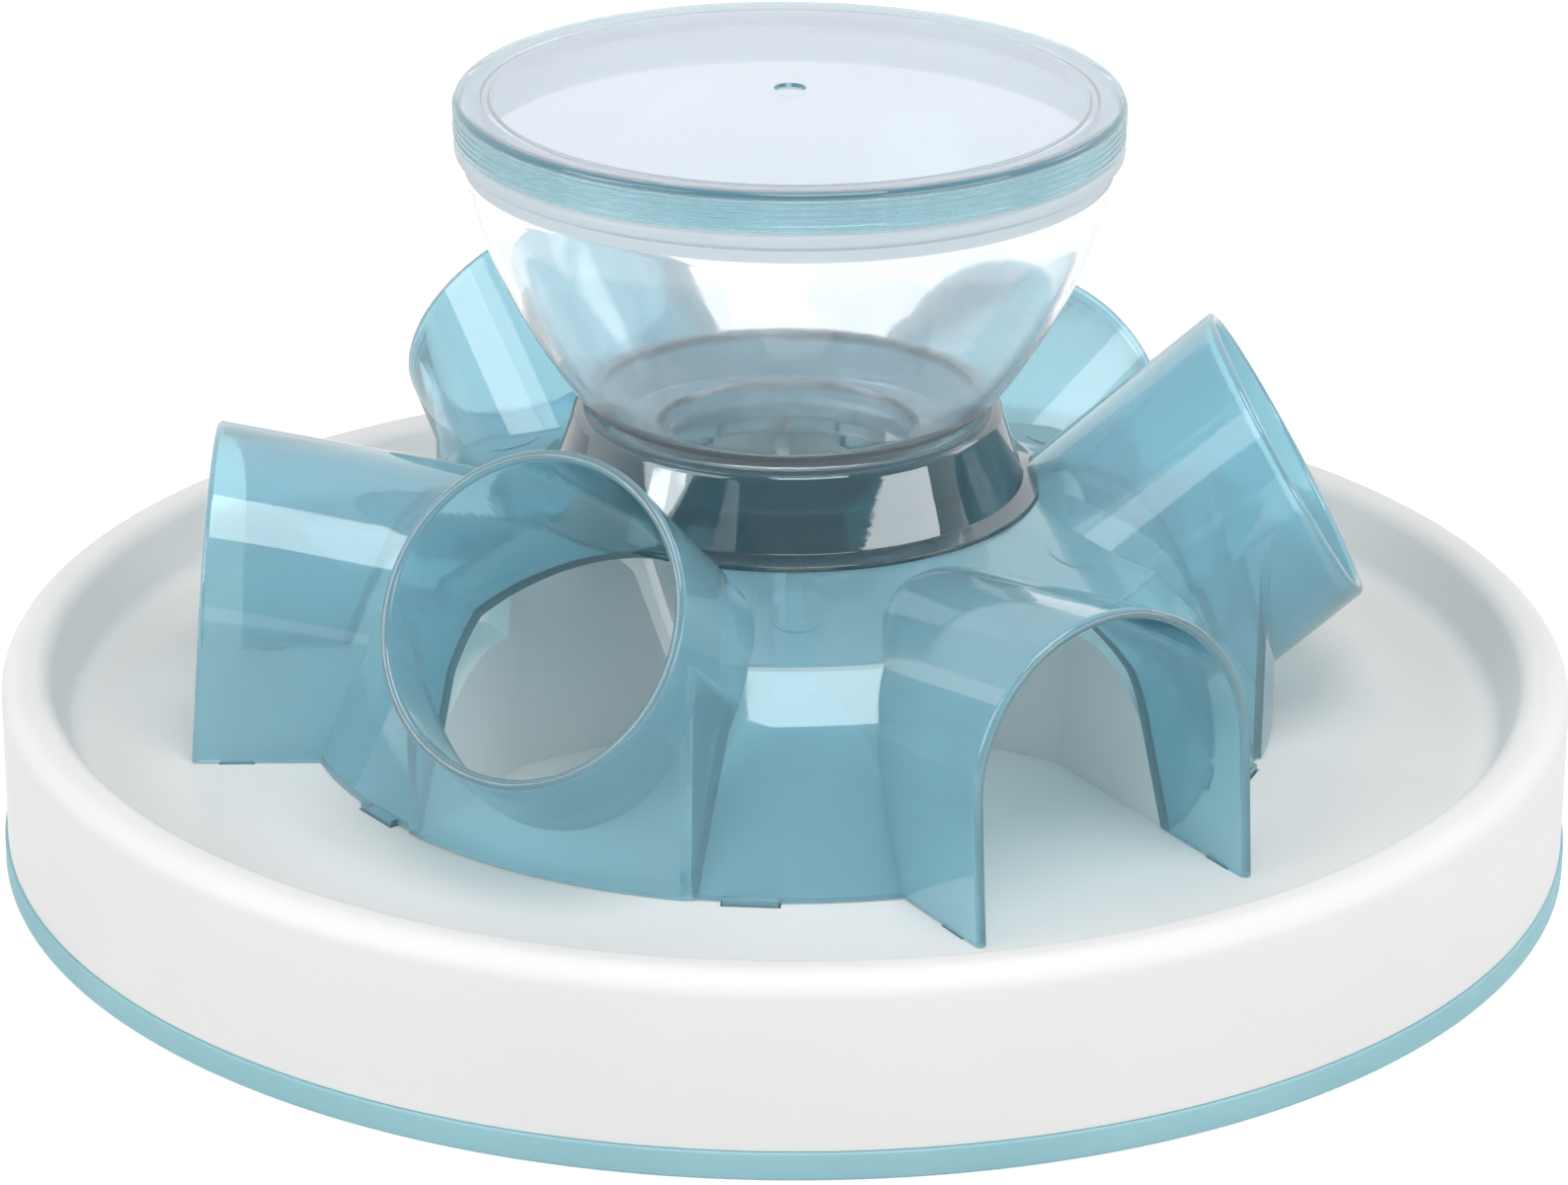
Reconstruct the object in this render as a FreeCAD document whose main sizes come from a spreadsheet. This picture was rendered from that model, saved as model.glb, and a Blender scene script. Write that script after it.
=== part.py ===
import FreeCAD, Part
import math
import os
import re
import Sketcher
from FreeCAD import Placement, Rotation, Vector

# Cat puzzle feeder: a round tray on a non-slip ring, six Y-shaped dividers on its floor, a dome
# with three low arches and three raised spouts over them, a collar, a clear bowl and a lid.
# Millimetres, +Z up, origin at the centre of the foot. Spouts look along 0, 120 and 240 degrees,
# arches along 60, 180 and 300 degrees.

SIZES = {
    "overall_height": 148.2,
    # the tray and its non-slip ring
    "tray_radius": 150.0,
    "rim_rise": 13.0,
    "tray_wall": 2.5,
    "floor_height": 25.0,
    "floor_thickness": 2.5,
    "lip_setback": 8.7,
    "basin_setback": 13.5,
    "rim_rounding": 4.3,
    "lip_rounding": 3.5,
    "basin_rounding": 5.0,
    "hollow_rounding": 1.5,
    "strip_height": 5.3,
    "strip_thickness": 1.9,
    "strip_proud": 0.6,
    "strip_rounding": 0.8,
    "strip_foot_width": 7.0,
    "strip_foot_thickness": 1.5,
    # the dome
    "station_angle": 60.0,
    "foot_radius": 93.3,
    "skirt_flare": 13.6,
    "shoulder_rise": 36.1,
    "shoulder_rounding": 28.0,
    "crown_radius": 44.5,
    "crown_rise": 10.8,
    "dome_wall": 2.2,
    "seat_gap": 0.3,
    # the neck that the bowl drops into
    "neck_radius": 38.2,
    "neck_wall": 1.6,
    "neck_rise": 9.0,
    "ledge_rise": 4.1,
    "ledge_thickness": 2.4,
    "ledge_step": 3.2,
    "outlet_radius": 24.4,
    # the tunnels
    "tunnel_wall": 2.0,
    "spout_radius": 30.0,
    "spout_tilt": 41.0,
    "spout_overhang": 2.2,
    "spout_rise": 51.0,
    "spout_lean": 30.0,
    "chamber_overhang": 0.7,
    "arch_radius": 29.6,
    "arch_tilt": 11.3,
    "arch_overhang": 17.2,
    "arch_rise": 26.5,
    "arch_lean": 4.3,
    "tunnel_outer_run": 34.0,
    "tunnel_depth": 70.0,
    # what locates the housing on the tray
    "lug_spacing": 8.84,
    "lug_width": 10.0,
    "lug_thickness": 3.4,
    "lug_proud": 1.0,
    "lug_rise": 0.9,
    "lug_drop": 2.3,
    "tab_length": 6.0,
    "tab_thickness": 1.6,
    "tab_setback": 3.5,
    "slot_gap": 0.4,
    # the dividers
    "fin_thickness": 2.8,
    "fin_gap": 0.45,
    "fin_leg_gap": 0.1,
    "fin_leg_drop": 8.1,
    "fin_flat_setback": 10.7,
    "fin_leg_arc": 21.5,
    "fin_join_rise": 15.0,
    "fin_eye_radius": 22.0,
    "fin_nose_setback": 9.9,
    "fin_nose_drop": 12.7,
    # the collar
    "collar_overhang": 0.7,
    "collar_top_gap": 2.1,
    "collar_rise": 1.8,
    "collar_wall": 2.0,
    "collar_lip_gap": 0.3,
    "collar_lip_reach": 1.0,
    "collar_rounding": 2.2,
    # the bowl
    "bowl_wall": 2.0,
    "bowl_spigot_gap": 0.6,
    "bowl_spigot_drop": 5.0,
    "bowl_flange_gap": 1.6,
    "bowl_flange_thickness": 1.6,
    "bowl_foot_rise": 3.9,
    "bowl_foot_arc": 58.0,
    "bowl_knee_flare": 1.7,
    "bowl_knee_rise": 14.0,
    "bowl_knee_slope": 47.0,
    "bowl_side_arc": 96.0,
    "bowl_shoulder_radius": 60.6,
    "bowl_shoulder_drop": 10.5,
    "bead_proud": 1.8,
    "bead_drop": 7.9,
    "bead_thickness": 3.1,
    "bead_rounding": 1.2,
    "rim_setback": 0.6,
    # the lid
    "lid_gap": 0.3,
    "lid_crown_rise": 0.8,
    "lid_edge_rise": 2.9,
    "lid_thickness": 2.0,
    "lid_rim_gap": 0.6,
    "lid_plug_depth": 3.4,
    "lid_plug_wall": 1.8,
    "lid_rounding": 1.0,
    "lid_dimple_radius": 2.2,
    "lid_dimple_depth": 0.3,
    "rib_start": 0.8,
    "rib_pitch": 1.15,
    "rib_depth": 0.35,
}
RIB_COUNT = 5
STATIONS = 6

# Sizes that follow from others, so that what rests on a piece or fits it keeps its place there.
TIED_SIZES = {
    "tray_height": "floor_height + rim_rise",
    "lip_radius": "tray_radius - lip_setback",
    "basin_radius": "tray_radius - basin_setback",
    "shoulder_radius": "foot_radius - skirt_flare",
    "shoulder_height": "floor_height + shoulder_rise",
    "crown_height": "shoulder_height + crown_rise",
    "ledge_height": "crown_height + ledge_rise",
    "neck_height": "ledge_height + neck_rise",
    "spout_reach": "foot_radius + spout_overhang",
    "spout_height": "floor_height + spout_rise",
    "chamber_radius": "foot_radius + chamber_overhang",
    "arch_reach": "foot_radius + arch_overhang",
    "arch_centre_height": "floor_height + arch_rise",
    "lug_angle": "asin((spout_radius + lug_spacing) / foot_radius) / 1 deg",
    "fin_leg_height": "shoulder_height - fin_leg_drop",
    "fin_leg_flat": "shoulder_radius - fin_flat_setback",
    "fin_leg_join": "floor_height + fin_join_rise",
    "fin_nose_radius": "crown_radius - fin_nose_setback",
    "fin_nose_height": "crown_height - fin_nose_drop",
    "collar_radius": "crown_radius + collar_overhang",
    "collar_top_radius": "neck_radius + collar_top_gap",
    "collar_height": "neck_height + collar_rise",
    "collar_lip_radius": "neck_radius - collar_lip_reach",
    "bowl_flange_radius": "neck_radius - neck_wall - bowl_flange_gap",
    "bowl_foot_height": "ledge_height + bowl_foot_rise",
    "bowl_knee_radius": "neck_radius + bowl_knee_flare",
    "bowl_knee_height": "ledge_height + bowl_knee_rise",
    "lid_edge_height": "overall_height - lid_crown_rise",
    "bowl_rim_height": "lid_edge_height - lid_edge_rise",
    "bowl_shoulder_height": "bowl_rim_height - bowl_shoulder_drop",
    "bowl_rim_radius": "bowl_shoulder_radius - rim_setback",
    "bead_radius": "bowl_shoulder_radius + bead_proud",
    "bead_underside": "bowl_rim_height - bead_drop",
    "bead_top": "bead_underside + bead_thickness",
    "lid_radius": "bowl_rim_radius + lid_rim_gap + lid_thickness",
}

# Heights and slopes that several pieces share, written with the names above.
HOUSING_FOOT = "(floor_height + seat_gap)"
BASIN_SLOPE = "((lip_radius - basin_radius) / (tray_height - floor_height))"
SKIRT_SLOPE = "((foot_radius - shoulder_radius) / (shoulder_height - floor_height))"
CONE_SLOPE = "((crown_height - shoulder_height) / (shoulder_radius - crown_radius))"
STRIP_REBATE = "(tray_radius + strip_proud - strip_thickness)"
OUTLET_HOLE = "(outlet_radius + bowl_wall + bowl_spigot_gap)"

doc = FreeCAD.newDocument("PuzzleFeeder")
sheet = doc.addObject("Spreadsheet::Sheet", "Sizes")
cells = list(SIZES.items()) + [(alias, "=" + text) for alias, text in TIED_SIZES.items()]
for row, (alias, size) in enumerate(cells, start=1):
    sheet.set("A%d" % row, alias)
    sheet.set("B%d" % row, str(size))
    sheet.setAlias("B%d" % row, alias)
doc.recompute()


def tied(text):
    """Point each size name in an expression at its cell."""
    return re.sub(r"[a-z]+(_[a-z]+)+", r"Sizes.\g<0>", text)


def number(text):
    """The value of an expression, for a first drawing or a plain placement."""
    result = sheet.evalExpression(text)
    return float(getattr(result, "Value", result))


def bind(item, **expressions):
    """Tie properties to the sheet; two underscores in a name stand for a dot."""
    for prop, text in expressions.items():
        item.setExpression(prop.replace("__", "."), tied(text))


def corner(across, up, rounding=None, arc=None, side=1):
    """One corner of an outline: where it is, its rounding, and the arc that leaves it."""
    return {"across": across, "up": up, "rounding": rounding, "arc": arc, "side": side}


def arc_middle(start, end, radius, side):
    """The middle point of an arc that bulges to the right of start-end, or left for side -1."""
    chord = end - start
    half = chord.Length / 2
    rise = radius - math.sqrt(radius * radius - half * half)
    out = Vector(chord.y, -chord.x, 0).normalize()
    return (start + end) * 0.5 + out * rise * side


def rounded_ends(before, at, after, radius):
    """Where a rounding of this radius leaves the two straight edges of a corner."""
    back = (before - at).normalize()
    ahead = (after - at).normalize()
    half_turn = back.getAngle(ahead) / 2
    run = radius / math.tan(half_turn)
    middle = (back + ahead).normalize() * (radius / math.sin(half_turn) - radius)
    return at + back * run, at + middle, at + ahead * run


def draw_outline(sketch, corners):
    """Draw a closed outline and tie every corner, rounding and arc to the sheet."""
    spots = [Vector(number(c["across"]), number(c["up"]), 0) for c in corners]
    count = len(corners)
    arrive = list(spots)
    leave = list(spots)
    bends = [None] * count
    for i, item in enumerate(corners):
        if item["rounding"]:
            ends = rounded_ends(spots[i - 1], spots[i], spots[(i + 1) % count], number(item["rounding"]))
            arrive[i], bends[i], leave[i] = ends
    edges = []
    for i, item in enumerate(corners):
        start = leave[i]
        end = arrive[(i + 1) % count]
        if item["arc"]:
            middle = arc_middle(start, end, number(item["arc"]), item["side"])
            edges.append(sketch.addGeometry(Part.Arc(start, middle, end), False))
        else:
            edges.append(sketch.addGeometry(Part.LineSegment(start, end), False))
    rules = []
    ties = []

    def end_of(edge, spot):
        near = (sketch.getPoint(edge, 1) - spot).Length < (sketch.getPoint(edge, 2) - spot).Length
        return 1 if near else 2

    def pin(edge, place, item):
        for axis, kind, text in ((-2, "DistanceX", item["across"]), (-1, "DistanceY", item["up"])):
            if text == "0":
                rules.append(Sketcher.Constraint("PointOnObject", edge, place, axis))
            else:
                ties.append((len(rules), text))
                rules.append(Sketcher.Constraint(kind, -1, 1, edge, place, number(text)))

    for i, item in enumerate(corners):
        last = edges[i - 1]
        last_end = end_of(last, arrive[i])
        this = edges[i]
        this_end = end_of(this, leave[i])
        if item["arc"]:
            ties.append((len(rules), item["arc"]))
            rules.append(Sketcher.Constraint("Radius", this, number(item["arc"])))
        if not item["rounding"]:
            rules.append(Sketcher.Constraint("Coincident", last, last_end, this, this_end))
            pin(this, this_end, item)
            continue
        bend = sketch.addGeometry(Part.Arc(arrive[i], bends[i], leave[i]), False)
        mark = sketch.addGeometry(Part.Point(spots[i]), True)
        pin(mark, 1, item)
        rules.append(Sketcher.Constraint("PointOnObject", mark, 1, last))
        rules.append(Sketcher.Constraint("PointOnObject", mark, 1, this))
        rules.append(Sketcher.Constraint("Tangent", last, last_end, bend, end_of(bend, arrive[i])))
        rules.append(Sketcher.Constraint("Tangent", this, this_end, bend, end_of(bend, leave[i])))
        ties.append((len(rules), item["rounding"]))
        rules.append(Sketcher.Constraint("Radius", bend, number(item["rounding"])))
    first = sketch.ConstraintCount
    sketch.addConstraint(rules)
    for index, text in ties:
        sketch.setExpression("Constraints[%d]" % (first + index), tied(text))


def origin_plane(body, role):
    """One of a body's own origin planes."""
    return next(item for item in body.Origin.OriginFeatures if item.Role == role)


def new_body(name):
    """An empty body whose label is its node's name."""
    body = doc.addObject("PartDesign::Body", name)
    body.Label = name
    return body


def body_sketch(body, name, role, corners):
    """A sketch on one of the body's origin planes."""
    sketch = body.newObject("Sketcher::SketchObject", name)
    sketch.AttachmentSupport = (origin_plane(body, role), [""])
    sketch.MapMode = "FlatFace"
    draw_outline(sketch, corners)
    return sketch


def turned_body(name, corners):
    """A body made by turning one profile about the upright axis."""
    body = new_body(name)
    profile = body_sketch(body, name + "_profile", "XZ_Plane", corners)
    turn = body.newObject("PartDesign::Revolution", name + "_turn")
    turn.Profile = profile
    turn.ReferenceAxis = (profile, ["V_Axis"])
    turn.Angle = 360
    profile.Visibility = False
    return body


def upright_sketch(name, corners):
    """A profile in the upright plane through the axis, for pieces cut from a turned shape."""
    sketch = doc.addObject("Sketcher::SketchObject", name)
    sketch.Placement = Placement(Vector(0, 0, 0), Rotation(Vector(1, 0, 0), 90))
    draw_outline(sketch, corners)
    return sketch


def turned_solid(name, sketch, angle=360.0, start=0.0):
    """A profile turned about the upright axis, from a start angle."""
    solid = doc.addObject("Part::Revolution", name)
    solid.Source = sketch
    solid.Axis = Vector(0, 0, 1)
    solid.Base = Vector(0, 0, 0)
    solid.Angle = angle
    solid.Solid = True
    solid.Placement = Placement(Vector(0, 0, 0), Rotation(Vector(0, 0, 1), start))
    return solid


def joined(kind, name, base, tool):
    """A cut, a common or a fuse of two solids."""
    result = doc.addObject("Part::" + kind, name)
    result.Base = base
    result.Tool = tool
    result.Label = name
    return result


def at_station(solid, angle):
    """Turn a solid that was built along +X to its outlet."""
    solid.Placement = Placement(Vector(0, 0, 0), Rotation(Vector(0, 0, 1), angle))
    return solid


def rod(name, reach, height, tilt, radius, inner_run, outer_run):
    """A tilted cylinder through a point on the outlet's middle line."""
    item = doc.addObject("Part::Cylinder", name)
    item.Placement = Placement(Vector(0, 0, 0), Rotation(Vector(0, 1, 0), 45))
    bind(item, Radius=radius, Height=inner_run + " + " + outer_run,
         Placement__Rotation__Angle="90 - " + tilt,
         Placement__Base__x=reach + " - (" + inner_run + ") * cos(" + tilt + ")",
         Placement__Base__z=height + " - (" + inner_run + ") * sin(" + tilt + ")")
    return item


def legs(name, reach, height, tilt, half_width, inner_run, outer_run):
    """The block between a tunnel's two side walls, below the axis of its round top."""
    item = doc.addObject("Part::Box", name)
    item.Placement = Placement(Vector(0, 0, 0), Rotation(Vector(0, 1, 0), 45))
    bind(item, Length="tunnel_depth", Width="2 * (" + half_width + ")",
         Height=inner_run + " + " + outer_run,
         Placement__Rotation__Angle="90 - " + tilt,
         Placement__Base__x=reach + " - (" + inner_run + ") * cos(" + tilt + ")",
         Placement__Base__y="-(" + half_width + ")",
         Placement__Base__z=height + " - (" + inner_run + ") * sin(" + tilt + ")")
    return item


def beyond_mouth(name, reach, height, lean):
    """All that lies past a tunnel's leaning mouth."""
    item = doc.addObject("Part::Box", name)
    item.Placement = Placement(Vector(0, 0, 0), Rotation(Vector(0, 1, 0), 45))
    bind(item, Length="4 * tunnel_depth", Width="4 * tunnel_depth", Height="2 * tunnel_depth",
         Placement__Rotation__Angle="90 - " + lean,
         Placement__Base__x=reach + " - 2 * tunnel_depth * sin(" + lean + ")",
         Placement__Base__y="-2 * tunnel_depth",
         Placement__Base__z=height + " + 2 * tunnel_depth * cos(" + lean + ")")
    return item


def inner_corner(depth):
    """Where the dome's two slopes meet, a given depth inside its outer face."""
    skirt = "(" + depth + ") * sqrt(1 + " + SKIRT_SLOPE + "^2)"
    cone = "(" + depth + ") * sqrt(1 + " + CONE_SLOPE + "^2)"
    inward = "((" + skirt + " - " + SKIRT_SLOPE + " * " + cone + ")"
    inward += " / (1 - " + SKIRT_SLOPE + " * " + CONE_SLOPE + "))"
    across = "(shoulder_radius - " + inward + ")"
    up = "(shoulder_height - " + cone + " + " + CONE_SLOPE + " * " + inward + ")"
    return across, up


def skirt_radius(height, depth):
    """Radius of the dome's skirt at a height, a given depth inside its outer face."""
    slant = "(" + depth + ") * sqrt(1 + " + SKIRT_SLOPE + "^2)"
    return "(foot_radius - (" + height + " - floor_height) * " + SKIRT_SLOPE + " - " + slant + ")"


def cone_height(radius, depth):
    """Height of the dome's cone at a radius, a given depth inside its outer face."""
    slant = "(" + depth + ") * sqrt(1 + " + CONE_SLOPE + "^2)"
    return "(crown_height - (" + radius + " - crown_radius) * " + CONE_SLOPE + " - " + slant + ")"


def make_nonslip_ring():
    """Rubber strip round the tray's foot, folded in under it."""
    outer = "tray_radius + strip_proud"
    return turned_body("nonslip_ring", [
        corner(outer + " - strip_foot_width", "0"),
        corner(outer, "0", "strip_rounding"),
        corner(outer, "strip_height"),
        corner(STRIP_REBATE, "strip_height"),
        corner(STRIP_REBATE, "strip_foot_thickness"),
        corner(outer + " - strip_foot_width", "strip_foot_thickness"),
    ])


def slot_sketch(body, name, angle, rectangles):
    """Rectangles on the tray's floor plane, turned to an angle about the upright axis."""
    sketch = body.newObject("Sketcher::SketchObject", name)
    sketch.AttachmentSupport = (origin_plane(body, "XY_Plane"), [""])
    sketch.MapMode = "FlatFace"
    sketch.AttachmentOffset = Placement(Vector(0, 0, 0), Rotation(Vector(0, 0, 1), number(angle)))
    sketch.setExpression("AttachmentOffset.Rotation.Angle", tied(angle))
    for near, far, low, high in rectangles:
        draw_outline(sketch, [corner(near, low), corner(far, low), corner(far, high), corner(near, high)])
    return sketch


def floor_slots(body, name, angle, rectangles):
    """Slots right through the tray floor for what stands in it."""
    sketch = slot_sketch(body, name + "_outline", angle, rectangles)
    pocket = body.newObject("PartDesign::Pocket", name)
    pocket.Profile = sketch
    pocket.Reversed = True
    bind(pocket, Length="floor_height + floor_thickness")
    sketch.Visibility = False
    doc.recompute()
    return pocket


def make_base_tray():
    """Hollow-rimmed tray with a flat floor and slots for the housing's feet."""
    under = "tray_wall * sqrt(1 + " + BASIN_SLOPE + "^2)"
    body = turned_body("base_tray", [
        corner("0", "floor_height - floor_thickness"),
        corner("basin_radius - floor_thickness * " + BASIN_SLOPE + " + " + under,
               "floor_height - floor_thickness", "hollow_rounding"),
        corner("basin_radius + (tray_height - tray_wall - floor_height) * " + BASIN_SLOPE + " + " + under,
               "tray_height - tray_wall", "hollow_rounding"),
        corner("tray_radius - tray_wall", "tray_height - tray_wall", "hollow_rounding"),
        corner("tray_radius - tray_wall", "strip_foot_thickness"),
        corner(STRIP_REBATE, "strip_foot_thickness"),
        corner(STRIP_REBATE, "strip_height"),
        corner("tray_radius", "strip_height"),
        corner("tray_radius", "tray_height", "rim_rounding"),
        corner("lip_radius", "tray_height", "lip_rounding"),
        corner("basin_radius", "floor_height", "basin_rounding"),
        corner("0", "floor_height"),
    ])
    doc.recompute()
    whole = body.Shape.Volume
    lug = [("foot_radius + lug_proud - lug_thickness - slot_gap", "foot_radius + lug_proud + slot_gap",
            "-(lug_width / 2 + slot_gap)", "lug_width / 2 + slot_gap")]
    near = "arch_reach - tab_setback - tab_length - slot_gap"
    far = "arch_reach - tab_setback + slot_gap"
    inner = "arch_radius - tunnel_wall / 2 - tab_thickness / 2 - slot_gap"
    outer = "arch_radius - tunnel_wall / 2 + tab_thickness / 2 + slot_gap"
    tabs = [(near, far, inner, outer), (near, far, "-(" + outer + ")", "-(" + inner + ")")]
    slots = [
        floor_slots(body, "lug_slot_left", "lug_angle", lug),
        floor_slots(body, "lug_slot_right", "2 * station_angle - lug_angle", lug),
        floor_slots(body, "tab_slots", "station_angle", tabs),
    ]
    ring = body.newObject("PartDesign::PolarPattern", "slot_pattern")
    ring.Originals = slots
    ring.Axis = (slots[0].Profile[0], ["N_Axis"])
    ring.Angle = 360
    ring.Occurrences = STATIONS // 2
    body.Tip = ring
    doc.recompute()
    per_slot = number("(lug_width + 2 * slot_gap) * (lug_thickness + 2 * slot_gap) * floor_thickness")
    assert whole - body.Shape.Volume > STATIONS * per_slot, "the floor slots were not all cut"
    return body


def fin_plan():
    """Plan of one divider: a leaf that forks into two legs beside the outlets."""
    half = "(station_angle / 2)"
    inner = "(spout_radius - tunnel_wall + fin_leg_gap)"
    outer = "(spout_radius - tunnel_wall + fin_leg_gap + fin_thickness)"
    run = "foot_radius"
    flank = "((fin_thickness / 2 + " + inner + " * cos" + half + ") / sin" + half + ")"

    def beside(along, off, sign):
        across = along + " * cos" + half + " + " + off + " * sin" + half
        up = sign + "(" + along + " * sin" + half + " - " + off + " * cos" + half + ")"
        return across, up

    fork = beside(flank, inner, "")[0]
    sketch = doc.addObject("Sketcher::SketchObject", "fin_plan")
    draw_outline(sketch, [
        corner("fin_eye_radius / 2", "-fin_thickness / 2"),
        corner(fork, "-fin_thickness / 2"),
        corner(*beside(run, inner, "-")),
        corner(*beside(run, outer, "-")),
        corner(outer + " / sin" + half, "0"),
        corner(*beside(run, outer, "")),
        corner(*beside(run, inner, "")),
        corner(fork, "fin_thickness / 2"),
        corner("fin_eye_radius / 2", "fin_thickness / 2"),
    ])
    return sketch


def fin_envelope():
    """Upright outline that all dividers keep to, clear of the inside of the dome."""
    depth = "dome_wall + fin_gap"
    fork = "((spout_radius - tunnel_wall + fin_leg_gap + fin_thickness) / sin(station_angle / 2))"
    sketch = upright_sketch("fin_outline", [
        corner("fin_eye_radius", "floor_height"),
        corner("fin_nose_radius", "fin_nose_height"),
        corner("crown_radius", cone_height("crown_radius", depth)),
        corner(fork, cone_height(fork, depth)),
        corner(fork + " + fin_thickness / 2", "fin_leg_height"),
        corner("fin_leg_flat", "fin_leg_height", arc="fin_leg_arc", side=-1),
        corner(skirt_radius("fin_leg_join", depth), "fin_leg_join"),
        corner(skirt_radius("floor_height", depth), "floor_height"),
    ])
    return turned_solid("fin_envelope", sketch)


def make_fins():
    """Six divider walls, one between each two outlets."""
    plan = fin_plan()
    envelope = fin_envelope()
    fins = []
    for i in range(STATIONS):
        wall = doc.addObject("Part::Extrusion", "fin_wall_%d" % (i + 1))
        wall.Base = plan
        wall.DirMode = "Custom"
        wall.Dir = Vector(0, 0, 1)
        wall.Solid = True
        bind(wall, LengthFwd="crown_height")
        at_station(wall, number("station_angle") * (i + 0.5))
        fins.append(joined("Common", "divider_fin_%d" % (i + 1), wall, envelope))
    return fins


def make_envelopes():
    """The dome's outer shape, which trims the tunnels, and the space below the housing's foot."""
    clear = "(collar_radius + seat_gap)"
    sketch = upright_sketch("dome_outline", [
        corner("0", "0"),
        corner(skirt_radius("0", "0"), "0"),
        corner("shoulder_radius", "shoulder_height", "shoulder_rounding"),
        corner(clear, cone_height(clear, "0")),
        corner(clear, "2 * crown_height"),
        corner("0", "2 * crown_height"),
    ])
    dome = turned_solid("dome_envelope", sketch)
    ground = doc.addObject("Part::Cylinder", "below_foot")
    bind(ground, Radius="2 * tray_radius", Height=HOUSING_FOOT + " + tray_radius",
         Placement__Base__z="-tray_radius")
    return dome, ground


def spout_space(name, wall, angle):
    """The room of a spout and its chamber, or with no wall taken off, their outer shape."""
    radius = "(spout_radius - " + wall + ")"
    where = ("spout_reach", "spout_height", "spout_tilt")
    tube = rod(name + "_tube", *where, radius, "shoulder_radius", "tunnel_outer_run")
    block = legs(name + "_block", *where, radius, "shoulder_radius", "0")
    limit = doc.addObject("Part::Cylinder", name + "_limit")
    bind(limit, Radius="chamber_radius - " + wall, Height="2 * crown_height")
    chamber = joined("Common", name + "_chamber", block, limit)
    return at_station(joined("Fuse", name, tube, chamber), angle)


def arch_space(name, wall, angle):
    """The room of an arch, or with no wall taken off, its outer shape."""
    radius = "(arch_radius - " + wall + ")"
    where = ("arch_reach", "arch_centre_height", "arch_tilt")
    top = rod(name + "_top", *where, radius, "shoulder_radius", "tunnel_outer_run")
    block = legs(name + "_block", *where, radius, "shoulder_radius", "tunnel_outer_run")
    return at_station(joined("Fuse", name, top, block), angle)


def make_tunnel(name, outer, room, mouth, dome, ground):
    """A tunnel's shell outside the dome, open at its mouth and onto the tray floor."""
    shell = joined("Cut", name + "_shell", outer, room)
    trimmed = joined("Cut", name + "_trimmed", shell, mouth)
    outside = joined("Cut", name + "_outside", trimmed, dome)
    return joined("Cut", name, outside, ground)


def arch_tab(name, side, angle):
    """A foot tab under an arch's side wall, at its mouth."""
    tab = doc.addObject("Part::Box", name)
    bind(tab, Length="tab_length", Width="tab_thickness", Height="lug_drop + tab_thickness",
         Placement__Base__x="arch_reach - tab_setback - tab_length",
         Placement__Base__y=side + "(arch_radius - tunnel_wall / 2) - tab_thickness / 2",
         Placement__Base__z=HOUSING_FOOT + " - lug_drop")
    holder = doc.addObject("Part::Compound", name + "_turned")
    holder.Links = [tab]
    return at_station(holder, angle)


def make_tunnels(dome, ground):
    """Three spouts and three arches by turns. Returns them and the rooms that they need."""
    rooms = []
    tunnels = []
    for i in range(STATIONS):
        angle = number("station_angle") * i
        pair = i // 2 + 1
        if i % 2 == 0:
            name = "spout_tunnel_%d" % pair
            outer = spout_space(name + "_outer", "0", angle)
            room = spout_space(name + "_room", "tunnel_wall", angle)
            mouth = beyond_mouth(name + "_mouth", "spout_reach", "spout_height", "spout_lean")
        else:
            name = "arch_tunnel_%d" % pair
            outer = arch_space(name + "_outer", "0", angle)
            room = arch_space(name + "_room", "tunnel_wall", angle)
            mouth = beyond_mouth(name + "_mouth", "arch_reach", "arch_centre_height", "arch_lean")
        holder = doc.addObject("Part::Compound", name + "_mouth_turned")
        holder.Links = [mouth]
        at_station(holder, angle)
        rooms.append(room)
        if i % 2 == 0:
            tunnels.append(make_tunnel(name, outer, room, holder, dome, ground))
            continue
        plain = make_tunnel(name + "_plain", outer, room, holder, dome, ground)
        left = joined("Fuse", name + "_with_tab", plain, arch_tab(name + "_left_tab", "", angle))
        tunnels.append(joined("Fuse", name, left, arch_tab(name + "_right_tab", "-", angle)))
    return tunnels, rooms


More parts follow.
